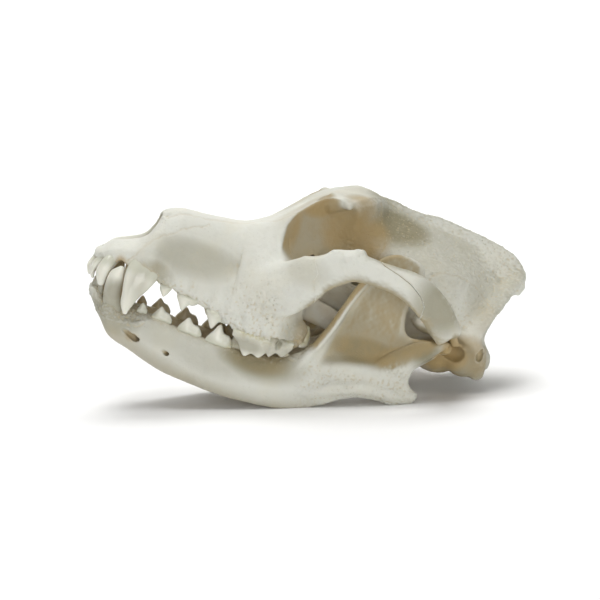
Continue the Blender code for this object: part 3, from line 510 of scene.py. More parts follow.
# Painted shade: grey patches where shadow falls on the skull
SHADE_PATCHES = [
    # the brow, the temple, the rear of the arch and the braincase
    ((92, 19, 61), (9, 8, 4), 1.2), ((103, 27, 62), (6, 6, 4), 0.5), ((107, 20, 65), (9, 8, 7), 0.6),
    ((103, 14, 47), (31, 18, 25), 0.6), ((120, 8, 68), (28, 13, 9), 0.45),
    ((130, 12, 57), (25, 18, 15), 1.3), ((150, 20, 48), (38, 26, 26), 0.45),
    ((151, 54, 31), (19, 15, 19), 1.0), ((178, 22, 37), (18, 20, 21), 0.6),
    ((189, 16, 45), (10, 13, 10), 0.25),
    # the muzzle, the cheek and the ear
    ((48, 18, 20), (38, 14, 20), 0.25), ((43, 18, 18), (31, 12, 13), 0.65),
    ((28, 20, 7), (11, 9, 9), 0.75), ((92, 42, 28), (17, 12, 9), 0.3),
    ((98, 30, -1), (12, 10, 12), 0.8), ((162, 32, 7), (14, 16, 12), 1.35),
    ((173, 26, 6), (24, 22, 17), 1.0)]
# Where light reaches deep inside, so that the painted shade of the hollows is lifted there
LIT_INSIDE = [((110, 9, 14), (15, 13, 15), 1.0), ((149, 28, 18), (14, 14, 14), 1.0)]
# How much each region has of lumps, fine grain, pores and roughness in its finish
TEXTURE = {"everywhere": (0.12, 0.25, 0.12, 0), "temple": (0.12, 0.5, 0.35, 0.6),
           "crest": (0.14, 0.3, 0, 0.6), "nape": (0.1, 0.5, 0, 0.5), "sockets": (0.75, 2, 0.6, 1),
           "tips": (0.5, 1.5, 0, 0.6), "muzzle": (0.4, 1.2, 1, 1)}
PORE_DEPTH = 1.1
SUTURE_HALF, SUTURE_DEPTH = 0.45, 0.15
VESSEL = [(81.5, 31, 21.3), (84, 32.4, 19.6), (86, 33.2, 18.5), (90.5, 35.5, 17.1)]
TEMPLE_LINE = [(103, 27, 60.8), (108, 22.5, 64.5), (114, 15.5, 67), (122, 8, 67.6), (131, 3, 67)]
# Sutures seen from above, by x and y, and from the side, by x and z
TOP_SUTURES = [[(25, 0), (82, 0)], [(27, 8.6), (45, 8.2), (58, 7.6), (68, 5.6), (79, 1.2)],
               [(68, 5.6), (71, 10), (75, 15.5), (82, 20), (86, 24)]]
SIDE_SUTURES = [[(14, 7.5), (17.5, 13), (23, 20), (34, 28), (46, 33.5)],
                [(119, 66), (121, 58), (125, 48), (122, 38), (120, 30)],
                [(150, 24), (146, 34), (150, 42), (161, 44), (173, 40), (181, 33)]]


def scroll(middle, radius, turns, ahead, thick=0.9, count=26):
    """A thin plate rolled up on itself along the nose: the bone that carried its lining."""
    turn = np.linspace(0, turns * tau, count)
    circle = np.stack([np.cos(turn), np.sin(turn)], axis=1)
    reach = (radius * (1 - ROLLED_IN * turn / turn[-1]))[:, None]
    rings = []
    for x, size in ahead:
        ribbon = np.concatenate([circle * reach, (circle * (reach - thick))[::-1]]) * size
        rings.append([(x, middle[0] + y, middle[1] + z) for y, z in ribbon])
    return skin(rings)


def cranium():
    """The whole skull without its jaw and teeth, smooth, with its openings."""
    skull = fuse(mesh_of("cranium", [loft(FACE, face_half), loft(BRAINCASE, brain_half)]))
    fossae = sides(egg(*EYE_SOCKET), egg(*TEMPLE), egg(*BEHIND_TEETH))
    hollows = [rod(NOSTRIL), rod(CHOANA), rod(FORAMEN_MAGNUM), egg(*PALATE)]
    combine(skull, fossae + hollows, "DIFFERENCE")
    across, back = (0, 1, 0), (1, 0, 0.3)
    bars = sides(rod(ARCH_FRONT), rod(ARCH_REAR, back), rod(CHEEK_PROCESS, across),
                 rod(BROW_PROCESS), rod(NUCHAL_CREST, (1, 0, 0.6)), rod(MASTOID, across),
                 rod(PARACONDYLAR, across), rod(CONDYLE, across), rod(RETROARTICULAR, back),
                 rod(PTERYGOID), rod(NASAL_TIP), rod(ARCH_FOOT, across), egg(*TUBER),
                 egg(*BULLA), egg(*EAR_MASS), rod(EAR_RIDGE), egg(*ARCH_SHELF))
    combine(skull, bars + [fin(CREST, CREST_HALF_WIDTHS, 180)], "UNION")
    fuse(skull)
    clay = Clay(skull)
    clay.fill(int(FILLING * FLOWS))
    clay.smooth(int(SMOOTHING * FLOWS))
    clay.press(*CANINE_SWELL)
    clay.press(*CHEEK_DENT)
    clay.press(*BROW_DENT, way=(0, 0, -1))
    wide = HINGE_RADIUS + HINGE_PLAY
    socket = rod([(*p, wide, wide) for p in JAW_HINGE])
    holes = [egg(*hole, detail=3) for hole in SMALL_HOLES]
    combine(skull, sides(socket, egg(*EAR_HOLE), egg(*EAR_PIT), egg(*CANINE_PIT),
                         egg(*EYE_FLOOR), rod(INFRAORBITAL), *holes), "DIFFERENCE")
    septum = fin(SEPTUM, [(SEPTUM_HALF, 0)], 60)
    combine(skull, [septum] + sides(*[scroll(*roll) for roll in SCROLLS]), "UNION")
    return fuse(skull)


def weather(skull):
    """The fine relief, stains and painted shade: ragged tooth sockets, sutures, pits and rough scars.
    """
    clay = Clay(skull)
    clay.smooth(2)
    swell_roots(clay, UPPER_CHEEK, (0, 2, 5), (3.2, 6, 8), 0.6)
    clay.ridge(TEMPLE_LINE, 1.8, 0.7)
    clay.ridge(VESSEL, 0.45, -0.4)
    clay.press(*MUZZLE_DENT)
    for centre, radius in PITS:
        clay.press(centre, (radius * 1.6,) * 3, radius)
    p = clay.mirrored()
    x, y, z = p.T
    lead = step(x, 49, 62.4) * (x < INFRAORBITAL_EDGE) * step(y, 12, 16)
    lead *= bell(z - INFRAORBITAL_HEIGHT, 5.2)
    clay.raise_by(-INFRAORBITAL_DENT * lead)
    regions = {"everywhere": np.ones(len(p)),
               "temple": step(x, 106, 116) * step(z, 18, 26) * step(y, 38, 34),
               "crest": step(x, 112, 122) * bell(z - read_off(CREST[:13], x), 3),
               "nape": step(x, 176, 186),
               "sockets": bell(z - read_off(UPPER_GUM, x), 2.6) * step(y, 6, 12) * step(x, 103, 99),
               "tips": bell(np.hypot(x - 24.5, z - 32), 3.464) + bell(np.hypot(x - 110, z - 45), 3.742),
               "muzzle": bell(np.hypot((x - 79) / 13, (z - 4) / 10), 1) * step(y, 20, 26)}
    lumpy, grainy, porous, rough = sum(np.outer(amounts, regions[name])
                                       for name, amounts in TEXTURE.items())
    relief = speckles(clay.points, 1, (3.4, 0.5), (1.7, 0.35)) * lumpy
    relief += speckle(clay.points, 1.0, 3) * 0.2 * grainy
    relief -= np.maximum(speckle(clay.points, 1.3, 4) - 0.45, 0) * PORE_DEPTH * porous
    jitter = np.stack([speckle(clay.points, 2.4, 5 + k) + 0.5 * speckle(clay.points, 1, 7 + k)
                       for k in (0, 1)], axis=1)
    outward = clay.normals[:, 1] * np.sign(clay.points[:, 1])
    upper = step(clay.normals[:, 2], 0.1, 0.4) * step(z, 28, 31)
    outer = step(outward, 0.1, 0.4) * (y < 34)
    seams = np.zeros(len(p))
    for lines, axes, wobble, where in ((TOP_SUTURES, [0, 1], 0.5, upper),
                                       (SIDE_SUTURES, [0, 2], 0.7, outer)):
        for line in lines:
            near = distance_along(spline(line, 24), p[:, axes] + jitter * wobble)
            seams = np.maximum(seams, bell(near, SUTURE_HALF) * where)
    clay.raise_by(relief - SUTURE_DEPTH * seams)
    # Painted shade: below the arch, inside the eye socket and on the tops behind the brow, where shadow
    # falls
    rise = clay.normals[:, 2]
    below_arch = step(rise, -0.1, -0.7) * step(x, 90, 97) * step(y, 24, 30)
    in_socket = step(rise - 0.5 * step(z, 52, 46), 0.55, 0.15) * step(y, 27.5, 23.5)
    in_socket *= step(z, 25, 32) * step(x, 124, 112)
    in_socket *= step(x - 0.4 * np.maximum(z - 44, 0), 78.4, 80)
    on_top = step(rise, 0.3, 0.85) * step(x, 106, 118) * (0.65 + 0.3 * step(x, 140, 128))
    # Brown is stain and painted shade; the grey patches and masks are painted shade only
    brown = strongest(patch_strength(p, STAINS_AND_SHADE), patch_strength(p, SOCKET_STAINS_AND_SHADE) * in_socket,
                      0.15 * lead, 0.45 * below_arch)
    grey = strongest(patch_strength(p, SHADE_PATCHES), 0.85 * in_socket, below_arch, on_top)
    paint(skull, seam=seams, rough=np.clip(rough, 0, 1), stain=brown, grey=grey,
          crease=clay.creases())


def strongest(*layers):
    """The highest of several values at each point."""
    return np.maximum.reduce(layers)


def patch_strength(points, patches):
    """How strongly each point lies in soft-edged patches."""
    strength = np.zeros(len(points))
    for centre, radii, most in patches:
        reach = np.linalg.norm((points - centre) / np.array(radii, float), axis=1)
        strength = np.maximum(strength, most * step(reach, 1.1, 0.35))
    return strength


def root_places(rows):
    """Where a cheek tooth's roots lie along it."""
    length = rows[-1][0] - rows[0][0]
    return (0,) if length < 5.5 else (rows[0][0] + length * 0.24, rows[-1][0] - length * 0.24)


def swell_roots(clay, teeth, shift, radii, height):
    """The bone swells over each root of the cheek teeth, shifted this far from the gum."""
    for place, heading, crown, rows in teeth:
        for along in root_places(rows):
            root = (along * cos(radians(heading)), along * sin(radians(heading)), 0)
            clay.press(np.add(place, root) + shift, radii, -height)


def paint(body, **fields):
    """Values kept with each point for the finish to read."""
    for name, values in fields.items():
        layer = body.data.attributes.new(name, "FLOAT", "POINT")
        layer.data.foreach_set("value", np.asarray(values, np.float32))


def rest(body):
    """From millimetres in the skull's frame to its place on the table, with no grain of the
    relief past the solids' own reach, so that the jaw lies flat."""
    tip = Matrix.Rotation(radians(REST_TILT), 4, "Y")
    metres = Matrix.Diagonal((0.001, 0.001, 0.001, 1))
    body.data.transform(metres @ Matrix.Translation(REST_PLACE) @ tip)
    points = np.clip(read(body.data.vertices, "co"), solid_box[0], solid_box[1])
    body.data.vertices.foreach_set("co", points.ravel())
    body.data.shade_smooth()


# Cheek teeth: place at the gum, heading, crown, and along it x, half width and height
UPPER_CHEEK = [
    ((34.6, 16.8, 2.2), 2, "blade", [(-2.6, 1.3, 1.8), (-0.4, 2, 4.8), (1, 1.9, 4.2),
                                     (2.8, 1.2, 1.4)]),
    ((46, 17.4, 0.2), 8, "blade", [(-5.6, 1.1, 1.2), (-3.4, 2, 4.4), (-1.5, 2.3, 6.7), (0.6, 2, 3.8),
                                   (3, 2, 3.2), (5.6, 1, 1.2)]),
    ((61.5, 21.4, -2.6), 18, "blade", [(-6.8, 1.2, 1.2), (-4.6, 2.2, 4.6), (-2.2, 2.5, 7.6),
                                       (0.4, 2.1, 4), (3.6, 2.1, 3.8), (6.8, 1, 1.4)]),
    ((77.8, 29.2, -6.6), 15, "blade", [(-9.4, 1.8, 3), (-6.4, 3.1, 5.2), (-1.9, 3.3, 10.2),
                                       (1.4, 2.9, 8.4), (5.4, 2.9, 9), (9, 1.4, 4)]),
    ((91.2, 28.4, -5), 4, "grinding", [(-7, 3.6, 3.4), (-4.6, 5.6, 9.6), (-1.4, 5.4, 7.2),
                                       (1.8, 5.1, 8.2), (5.4, 3.2, 3.6)]),
    ((99.6, 25.4, -3.6), -8, "grinding", [(-2.8, 2.4, 1.6), (-0.8, 3.6, 3.6), (1, 3.4, 3),
                                          (2.8, 2, 1.2)])]

skull = cranium()
weather(skull)


# The cheekbones: one on each side under the eye, held by two sutures. The rear one shows as a
# thin dark line down the arch, and the front one is knit so closely that it is hard to see.
REAR_SEAM, FRONT_SEAM = 0.28, 0.03
# Their x and z, and from which y to which they cut
CHEEK_SUTURE = [(115, 52), (117.5, 43.5), (121, 41), (128, 39), (134.5, 36.4), (140, 32.6),
                (143, 28.5), (143.5, 12)], 44, 70
CHEEK_ROOT = [(87, 60), (90.5, 45), (93.6, 38), (92.6, 34), (95.4, 29), (94.4, 25),
              (97.6, 19), (99, 4)], 33.5, 70
MIDDLE_REACH = 10       # a piece whose mean y is nearer to 0 than this is no cheekbone


def sheet(line, low, high, thick):
    """A thin slab over a line in x and z, from y = low to y = high."""
    line = np.array(line, float)
    way = np.gradient(line, axis=0)
    way /= np.linalg.norm(way, axis=1)[:, None]
    off = np.stack([-way[:, 1], way[:, 0]], axis=1) * thick / 2
    edge = np.concatenate([line + off, (line - off)[::-1]])
    return skin([[(x, y, z) for x, z in edge] for y in (low, high)])


def cut(body, pieces):
    """Closed pieces taken from the body just as they are."""
    merge(body, mesh_of("knives", pieces), "DIFFERENCE")


def shells(body):
    """Each closed surface of the body as a set of its points, the largest first."""
    label = np.arange(len(body.data.vertices))
    a, b = read(body.data.edges, "vertices", 2, np.int32).T
    while True:
        low = np.minimum(label[a], label[b])
        grown = label.copy()
        np.minimum.at(grown, a, low)
        np.minimum.at(grown, b, low)
        grown = grown[grown]
        if (grown == label).all():
            break
        label = grown
    names, sizes = np.unique(label, return_counts=True)
    return [np.flatnonzero(label == name) for name in names[np.argsort(-sizes)]]


def part_of(body, name, points):
    """A new object with only these points of the body and the faces among them."""
    keep = set(points.tolist())
    mesh = bmesh.new()
    mesh.from_mesh(body.data)
    mesh.verts.ensure_lookup_table()
    bmesh.ops.delete(mesh, geom=[v for v in mesh.verts if v.index not in keep], context="VERTS")
    bmesh.ops.triangulate(mesh, faces=mesh.faces)
    data = bpy.data.meshes.new(name)
    mesh.to_mesh(data)
    mesh.free()
    return in_scene(name, data)


cut(skull, sides(sheet(*CHEEK_SUTURE, REAR_SEAM), sheet(*CHEEK_ROOT, FRONT_SEAM)))
places = read(skull.data.vertices, "co")
bones = []
for points in shells(skull)[:3]:
    middle = places[points].mean(axis=0)[1]
    name = "skull_cheekbone_" + ("right" if middle > 0 else "left")
    if abs(middle) < MIDDLE_REACH:
        name = "skull_cranium"
    bones.append(part_of(skull, name, points))
bpy.data.objects.remove(skull)


# The lower jaw: two mirrored bones that meet at the chin, each a plate that thins towards the
# back, with a hollow for the chewing muscle, a hinge at the corner and a hook below it.
JAW_OUTLINE = [
    (1.5, -9), (4, -14), (10, -21.5), (15, -27.5), (20, -30), (27, -32), (36, -34.8), (45, -37),
    (55, -38), (67, -39), (78, -39), (90, -38), (99, -36.8), (107, -34), (116, -29.5), (123, -24.5),
    (130, -21.3), (137, -20), (146, -20), (151.5, -18), (155, -15.5), (156, -12.5), (154, -11),
    (151, -9), (150, -5.5), (151, -1.6), (155, 2.8), (160, 8), (163, 11.4), (161, 13.6), (155, 13.2),
    (148, 12), (144, 12.6), (141.5, 17), (141, 26), (143.5, 38), (142, 44), (136, 46.5), (128, 46),
    (121.5, 41), (116, 29), (112, 17), (108, 4), (103.6, -4.6), (98, -10.6), (90, -14), (80, -15.5),
    (70, -16), (58, -16), (45, -15), (36, -13), (28, -12.5), (18, -13), (10, -11), (5, -8.5)]
# x, y of the middle and half width
JAW_BODY = [(0, 4.5, 5.2), (8, 6.8, 7), (15, 8.2, 8.2), (24, 8.8, 8), (32, 12.2, 6.2),
            (42, 15.4, 5.2), (60, 19, 5.1), (80, 23.3, 5.2), (90, 25.6, 5), (99, 27.8, 3.4),
            (108, 30, 2.1), (120, 33, 1.9), (140, 36.5, 1.9), (165, 38, 1.9)]
JAW_LEAN, LEAN_FROM = 0.06, -15.0   # its slope outward, and the height where JAW_BODY holds
CHIN_END, CHIN_FADE = 34.0, 8.0     # the two halves meet along the chin up to here
PLATE_HALF, PLATE_GRAIN = 6.0, 0.7  # of the plate before it is swelled
RIM_ROUND = 1.15        # how far in the edges are rounded, in half thicknesses
RIM_START = 0.25        # so that the outermost points keep some thickness
JAW_FILLING = 24        # passes, as for the skull
# Bars of bone on the plate, the last of them round the canine's root
CORONOID_EDGE = [(96, 26, -24, 2, 3), (101, 30.5, -15, 2.2, 2.8), (105.5, 33, -5, 2.2, 2.4),
                 (110, 34.5, 6, 2, 2), (114.5, 35.8, 20, 1.8, 1.8), (121, 37, 35, 1.6, 1.5)]
MASSETER_SHELF = [(100, 25, -29, 3, 3), (110, 31.5, -25, 2.6, 3), (120, 35.6, -19.5, 2.2, 3),
                  (132, 38, -15.5, 2.2, 3), (146, 39.4, -15, 2.2, 2.6), (152.5, 39, -13.5, 1.8, 1.8)]
CONDYLE_NECK = [(132, 36.5, -8.5, 1.8, 2.6), (141, 38.8, -0.5, 2.2, 4.8), (150, 41, 7, 2.3, 5),
                (156.4, 42.6, 11.4, 2.2, 3.2), (160.8, 43.4, 14.2, 1.4, 1.6)]
ANGLE_HOOK = [(149.5, 38.6, -15.8, 2, 2.4), (153.8, 38.8, -14, 1.5, 1.6),
              (155.2, 39, -11.4, 0.9, 0.9)]
CANINE_SOCKET = [(12.9, 12.2, -16.2, 4.8, 5), (16, 11, -20.5, 4.8, 5.2), (21, 10, -26, 4, 4.4)]
# The chewing muscle's hollow: its floor by x and z, its front by z and x, its depth and slope
HOLLOW_FLOOR = [(106, -16), (112, -8.5), (121, -5.5), (133, -2.5), (147, 3), (152, 8)]
HOLLOW_FRONT = [(-20, 107), (0, 110), (24, 114.5), (44, 120)]
HOLLOW_DEPTH, HOLLOW_SLOPE = 3.2, 2.8
LOWER_GUM = [(2, -9), (10, -11), (18, -13), (28, -12.5), (36, -13), (45, -15), (58, -16), (70, -16),
             (80, -15.5), (90, -14.5), (98, -12), (104, -6)]
LOWER_CHEEK = [
    ((27.5, 13, -13), 8, "blade", [(-2.4, 1.1, 1.2), (-0.4, 1.8, 4.2), (2.4, 1.1, 1.4)]),
    ((37, 15, -14), 10, "blade", [(-4.8, 1.4, 1.6), (-3, 2.3, 4), (-1.5, 2.6, 5.9), (0.8, 2.4, 4.2),
                                  (2.8, 2.3, 3.6), (4.8, 1.3, 1.4)]),
    ((50.5, 17.8, -16), 12, "blade", [(-5.8, 1.5, 1.8), (-3.8, 2.5, 4.6), (-1.7, 2.9, 6.8),
                                      (0.8, 2.5, 4.6), (3.8, 2.4, 3.8), (5.8, 1.3, 1.4)]),
    ((64.5, 20.8, -17), 12, "blade", [(-6.3, 1.5, 1.8), (-3.8, 2.7, 5.6), (-1.3, 3, 9.1),
                                      (1.2, 2.6, 5.6), (4.1, 2.6, 5), (6.3, 1.4, 1.8)]),
    ((81, 22.3, -17), 13, "blade", [(-11.2, 1.6, 5), (-8.2, 2.6, 8.4), (-3, 2.5, 6),
                                    (1, 2.6, 9), (4, 2.5, 4.6), (7.4, 2.4, 5), (10.2, 1.4, 2)]),
    ((95.5, 26, -15), 13, "grinding", [(-4, 1.8, 1.6), (-1.6, 2.6, 4.4), (1.6, 2.3, 3.6),
                                       (4, 1.4, 1.6)]),
    ((102, 27.6, -12.6), 13, "blade", [(-2, 1.2, 1), (0, 1.9, 2.8), (2, 1, 1)])]
NERVE_HOLES = [[(21, 16.8, -22.5, 1, 0.8), (25, 15.2, -24, 1.8, 1.4), (29, 14.8, -25.1, 2.4, 2.1),
                (31.4, 12.4, -25.6, 2, 2.1), (34, 8.6, -25.8, 1.5, 1.4)],
               [(40.3, 20.4, -26.3, 0.8, 0.7), (41.8, 19.8, -26.9, 1.3, 1.0),
                (43.4, 19, -27.5, 1.5, 1.1), (45.2, 16.2, -27.9, 1.1, 1)],
               [(122, 26.5, 2, 1.2, 1.2), (116, 27.4, -3, 1.8, 1.7), (110, 28, -7.5, 1.4, 1.4)]]
SOCKET_RIMS = [[(3, 8, -9.6), (6.5, 12.5, -11.2), (9, 16.2, -12.8), (13.5, 17.4, -13),
                (17.5, 16.6, -12.2), (21, 14, -12.2)],
               [(4, 9, -11.6), (8, 14.6, -14.2), (12, 17.4, -15.4), (17, 17, -14.6), (22, 15, -14.4)]]
SCAR_LINE = [(6, 11, -17), (14.7, 14.5, -20.6), (21, 16, -19), (27.4, 16.4, -17.5),
             (32.4, 16.5, -15)]
# Brown and grey patches of painted shade, with some stain, as on the skull, and those of the muscle's
# hollow
JAW_STAINS_AND_SHADE = [((83, 28, -17), (24, 12, 11), 0.35), ((27, 14, -25), (7, 5, 4), 0.6),
              ((43.5, 16, -27), (4, 4, 3), 0.7), ((154, 38, 13), (12, 9, 7), 0.85),
              ((163, 40, 13), (8, 9, 7), 1.0), ((161, 35, 9), (9, 10, 7), 0.9)]
JAW_SHADE_PATCHES = [((60, 25, -23), (30, 12, 12), 0.45), ((14, 14, -18), (22, 14, 15), 0.85),
              ((45, 20, -18), (34, 12, 12), 0.45), ((82, 28, -17), (27, 12, 12), 1.35),
              ((152, 41, 9), (15, 9, 10), 1.3), ((163, 41, 13), (8, 9, 7), 1.2)]
HOLLOW_DUST_AND_SHADE = [((119, 34, 3), (28, 12, 20), 0.45), ((138, 36, 4), (30, 12, 12), 0.45),
                 ((128, 35, 20), (44, 14, 40), 0.25)]
HOLLOW_SHADE_PATCHES = [((119, 34, 4), (28, 12, 22), 1.0), ((138, 36, 5), (30, 12, 13), 1.0),
                 ((127, 36, 0), (36, 12, 12), 1.35), ((130, 36, 20), (46, 14, 42), 0.6)]
# Painted shade along the lower edge, as a line in x and z: brown and grey there, on the front of the
# plate that carries the muscle, and brown on the sides that face the tongue
JAW_EDGE, EDGE_REACH = [(14, -25), (37, -33), (62, -38), (90, -39), (112, -34)], 5.5
EDGE_SHADE, FRONT_SHADE, INNER_SHADE = (0.3, 0.55), (0.65, 1.3), 0.6


def jaw():
    """The right half of the lower jaw."""
    outline = loop(JAW_OUTLINE, 300)
    plate = [[(x, y, z) for x, z in outline] for y in (-PLATE_HALF, 0, PLATE_HALF)]
    body = fuse(mesh_of("jaw", [skin(plate)]), PLATE_GRAIN)
    clay = Clay(body)
    x, across, z = clay.points.T
    stations, middles, halves = np.transpose(JAW_BODY)
    half = np.interp(x, stations, halves)
    middle = np.interp(x, stations, middles) + (z - LEAN_FROM) * JAW_LEAN
    rim_line = np.concatenate([outline, outline[:1]])
    inward = distance_along(rim_line, clay.points[:, [0, 2]]) + RIM_START
    above = z - read_off(HOLLOW_FLOOR, x)
    behind = x - read_off(HOLLOW_FRONT, z)
    middle -= HOLLOW_DEPTH * (np.clip(above / HOLLOW_SLOPE + 0.5, 0, 1)
                              * np.clip(behind / HOLLOW_SLOPE, 0, 1))
    depth = np.clip(inward / (half * RIM_ROUND), 0, 1)
    rim = np.sqrt(np.maximum(1 - (1 - depth)**2, 0.02))
    chin = np.clip((CHIN_END - x) / CHIN_FADE, 0, 1) * (across < 0)
    clay.points[:, 1] = middle + across / PLATE_HALF * half * (rim + (1 - rim) * chin)
    clay.settle()
    hinge = rod([(*p, HINGE_RADIUS, HINGE_RADIUS) for p in JAW_HINGE])
    ridges = [hinge, rod(CORONOID_EDGE, (0, 1, 0)), rod(MASSETER_SHELF), rod(CONDYLE_NECK),
              rod(ANGLE_HOOK, (0, 1, 0)), rod(CANINE_SOCKET, (0, 1, 0))]
    combine(body, ridges, "UNION")
    fuse(body)
    clay = Clay(body)
    clay.fill(int(JAW_FILLING * FLOWS))
    clay.smooth(int(SMOOTHING * FLOWS))
    combine(body, [rod(hole) for hole in NERVE_HOLES], "DIFFERENCE")
    return fuse(body)


def weather_jaw(body, seed):
    """Root swellings, tooth sockets, the scarred bone round the canine, stains and painted shade."""
    clay = Clay(body)
    clay.smooth(2)
    swell_roots(clay, LOWER_CHEEK, (0, 3, -4), (3, 5, 7), 0.3)
    for rim in SOCKET_RIMS:
        clay.ridge(rim, 0.7, 0.7)
    clay.ridge(SCAR_LINE, 0.8, 0.45)
    p = clay.points
    x, y, z = p.T
    sockets = bell(z - read_off(LOWER_GUM, x), 2.4) * step(x, 108, 102)
    scar = step(x, 34, 26) * step(z, -22, -18)
    muscle = step(x, 100, 108) * step(z, -8, -14)
    corner = step(x, 134, 144) * step(z, 2, -6)
    chin = step(y, 5, 1.5) * step(x, 34, 30)
    rough = np.clip(0.7 * sockets + scar + 0.5 * muscle + 0.6 * corner + 0.8 * chin, 0, 1)
    relief = speckles(p, seed, (3.2, 0.5), (1.6, 0.35)) * (0.1 + 0.6 * rough)
    relief += speckle(p, 0.9, seed + 2) * 0.2 * (0.1 + 1.6 * rough)
    relief -= np.maximum(speckle(p, 1.2, seed + 3) - 0.45, 0) * 0.6 * rough
    clay.raise_by(relief)
    ahead, outward = clay.normals.T[:2]
    # Painted shade: the sides that face the tongue, the muscle's hollow, the lower edge and the plate's
    # front
    inner = step(outward, 0.0, -0.5) * step(x, 10, 22)
    hollow = step(z - read_off(HOLLOW_FLOOR, x), -5, 0) * step(y, 24, 27)
    hollow *= step(x - read_off(HOLLOW_FRONT, z), 0, 4) * step(outward, 0, 0.4)
    edge = bell(distance_along(JAW_EDGE, p[:, [0, 2]]), EDGE_REACH) * step(outward, -0.2, 0.2)
    front = step(ahead, 0.2, -0.35) * step(x, 96, 102) * step(z, -8, -2)
    brown = strongest(patch_strength(p, JAW_STAINS_AND_SHADE), patch_strength(p, HOLLOW_DUST_AND_SHADE) * hollow,
                      inner * INNER_SHADE, edge * EDGE_SHADE[0], front * FRONT_SHADE[0])
    grey = strongest(patch_strength(p, JAW_SHADE_PATCHES), patch_strength(p, HOLLOW_SHADE_PATCHES) * hollow,
                     edge * EDGE_SHADE[1], front * FRONT_SHADE[1])
    paint(body, seam=0 * x, rough=rough, stain=brown, grey=grey, crease=clay.creases())


def turn_over(body):
    """The right side's piece becomes the left side's."""
    body.data.transform(Matrix.Diagonal((1, -1, 1, 1)))
    body.data.flip_normals()


CHIN_KNIFE = skin([[(-20, -20, z), (60, -20, z), (60, 0.1, z), (-20, 0.1, z)] for z in (-60, 30)])
whole_jaw = jaw()
for name, seed in (("left", 20), ("right", 30)):
    half_jaw = in_scene("half_jaw", whole_jaw.data.copy())
    weather_jaw(half_jaw, seed)
    cut(half_jaw, [CHIN_KNIFE])
    bone = part_of(half_jaw, "skull_mandible_" + name, shells(half_jaw)[0])
    bpy.data.objects.remove(half_jaw)
    if name == "left":
        turn_over(bone)
    bones.append(bone)
bpy.data.objects.remove(whole_jaw)


# The teeth: ivory under glassy enamel, each rooted in its socket. Canines and incisors are bent
# pegs, the cheek teeth blades with cusps, and the last ones broad with a grinding heel.
TOOTH_GRAIN = 0.3
ROOT_SLOT = ((89.4, 34, -7.8), (1.8, 4, 3.4), 2.4)     # between the bared roots of the big molar
# Incisors and canines from root to tip: x, y, z, half width and half depth
UPPER_POINTED = [
    [(3.5, 2.6, 9, 2, 2), (0.8, 2.6, 3, 2.2, 2), (-0.8, 2.5, -0.6, 2, 1.5),
     (-0.2, 2.4, -3.6, 1.3, 0.6)],
    [(5.5, 7.4, 9, 2.1, 2.2), (2.4, 7.6, 3, 2.5, 2.2), (0.8, 7.8, -0.9, 2.2, 1.6),
     (1.7, 7.8, -4.2, 1.4, 0.7)],
    [(9, 10.5, 8.5, 2.6, 3), (6.8, 12.2, 4.5, 2.8, 3.2), (5.4, 13.2, -0.5, 2.8, 3.1),
     (5.9, 13.4, -4.8, 1.7, 1.7)],
    [(27, 15.5, 14, 3.2, 4.6), (23.6, 17.2, 8, 3.8, 7.2), (21.6, 19.2, 1.5, 3.8, 6.6),
     (20, 20.3, -6, 3, 4), (19.5, 20.4, -10.6, 2.2, 2.7), (19.9, 20.2, -14.2, 1, 1.2)]]
LOWER_POINTED = [
    [(6, 2, -13, 1.4, 2), (3.8, 2, -8.4, 1.5, 1.5), (3.2, 2, -5, 1.3, 0.7)],
    [(7, 5.2, -13, 1.5, 2.2), (4.8, 5.4, -8, 1.7, 1.7), (4.4, 5.6, -4.6, 1.5, 0.8)],
    [(8.4, 8, -13, 1.6, 2.2), (7, 8.3, -8, 1.8, 1.8), (6.9, 8.6, -4.8, 1.5, 0.9)],
    [(17, 10.5, -20, 3.2, 4.2), (13.4, 13, -12, 3.5, 4.4), (12.1, 14.8, -5, 3, 4.2),
     (12.1, 15.8, 0.6, 2, 3.6), (13.3, 16.4, 4.4, 0.9, 1.5)]]
# The cheek teeth across, above where they are widest, in half widths and heights
CROWNS = {"blade": [(0.92, 0.5), (0.42, 1), (-0.42, 1), (-0.92, 0.5)],
          "grinding": [(0.92, 0.5), (0.62, 1), (0, 0.6), (-0.6, 0.74), (-0.92, 0.5)]}
FOOT, SHOULDER = -0.4, 0.9      # where a crown ends in the gum, and where it is widest
# Along a root: how far towards the crown, how far out and how thick
ROOTS = [(1.2, 0, 1), (-2.5, -0.3, 0.85), (-5.5, -1.4, 0.5)]
ROOT_WIDTH, ROOT_MOST = 0.72, 2.4       # its thickness against the crown's, and the limit
# Painted shade on the teeth, in grey patches as on the skull
UPPER_SHADE_PATCHES = [((76, 31, -12), (12, 8, 4.5), 0.8), ((89, 32, -6), (6, 7, 4), 1.0),
                ((90, 31, -11), (14, 8, 5), 0.6), ((22, 22, 0), (5, 7, 10), 0.45)]
LOWER_SHADE_PATCHES = [((13, 17, -7), (7, 8, 8), 0.9)]


def peg(rows):
    """An incisor or canine along its own curve."""
    return rod(rows, (1, 0, 0), 28, 40, caps=5)


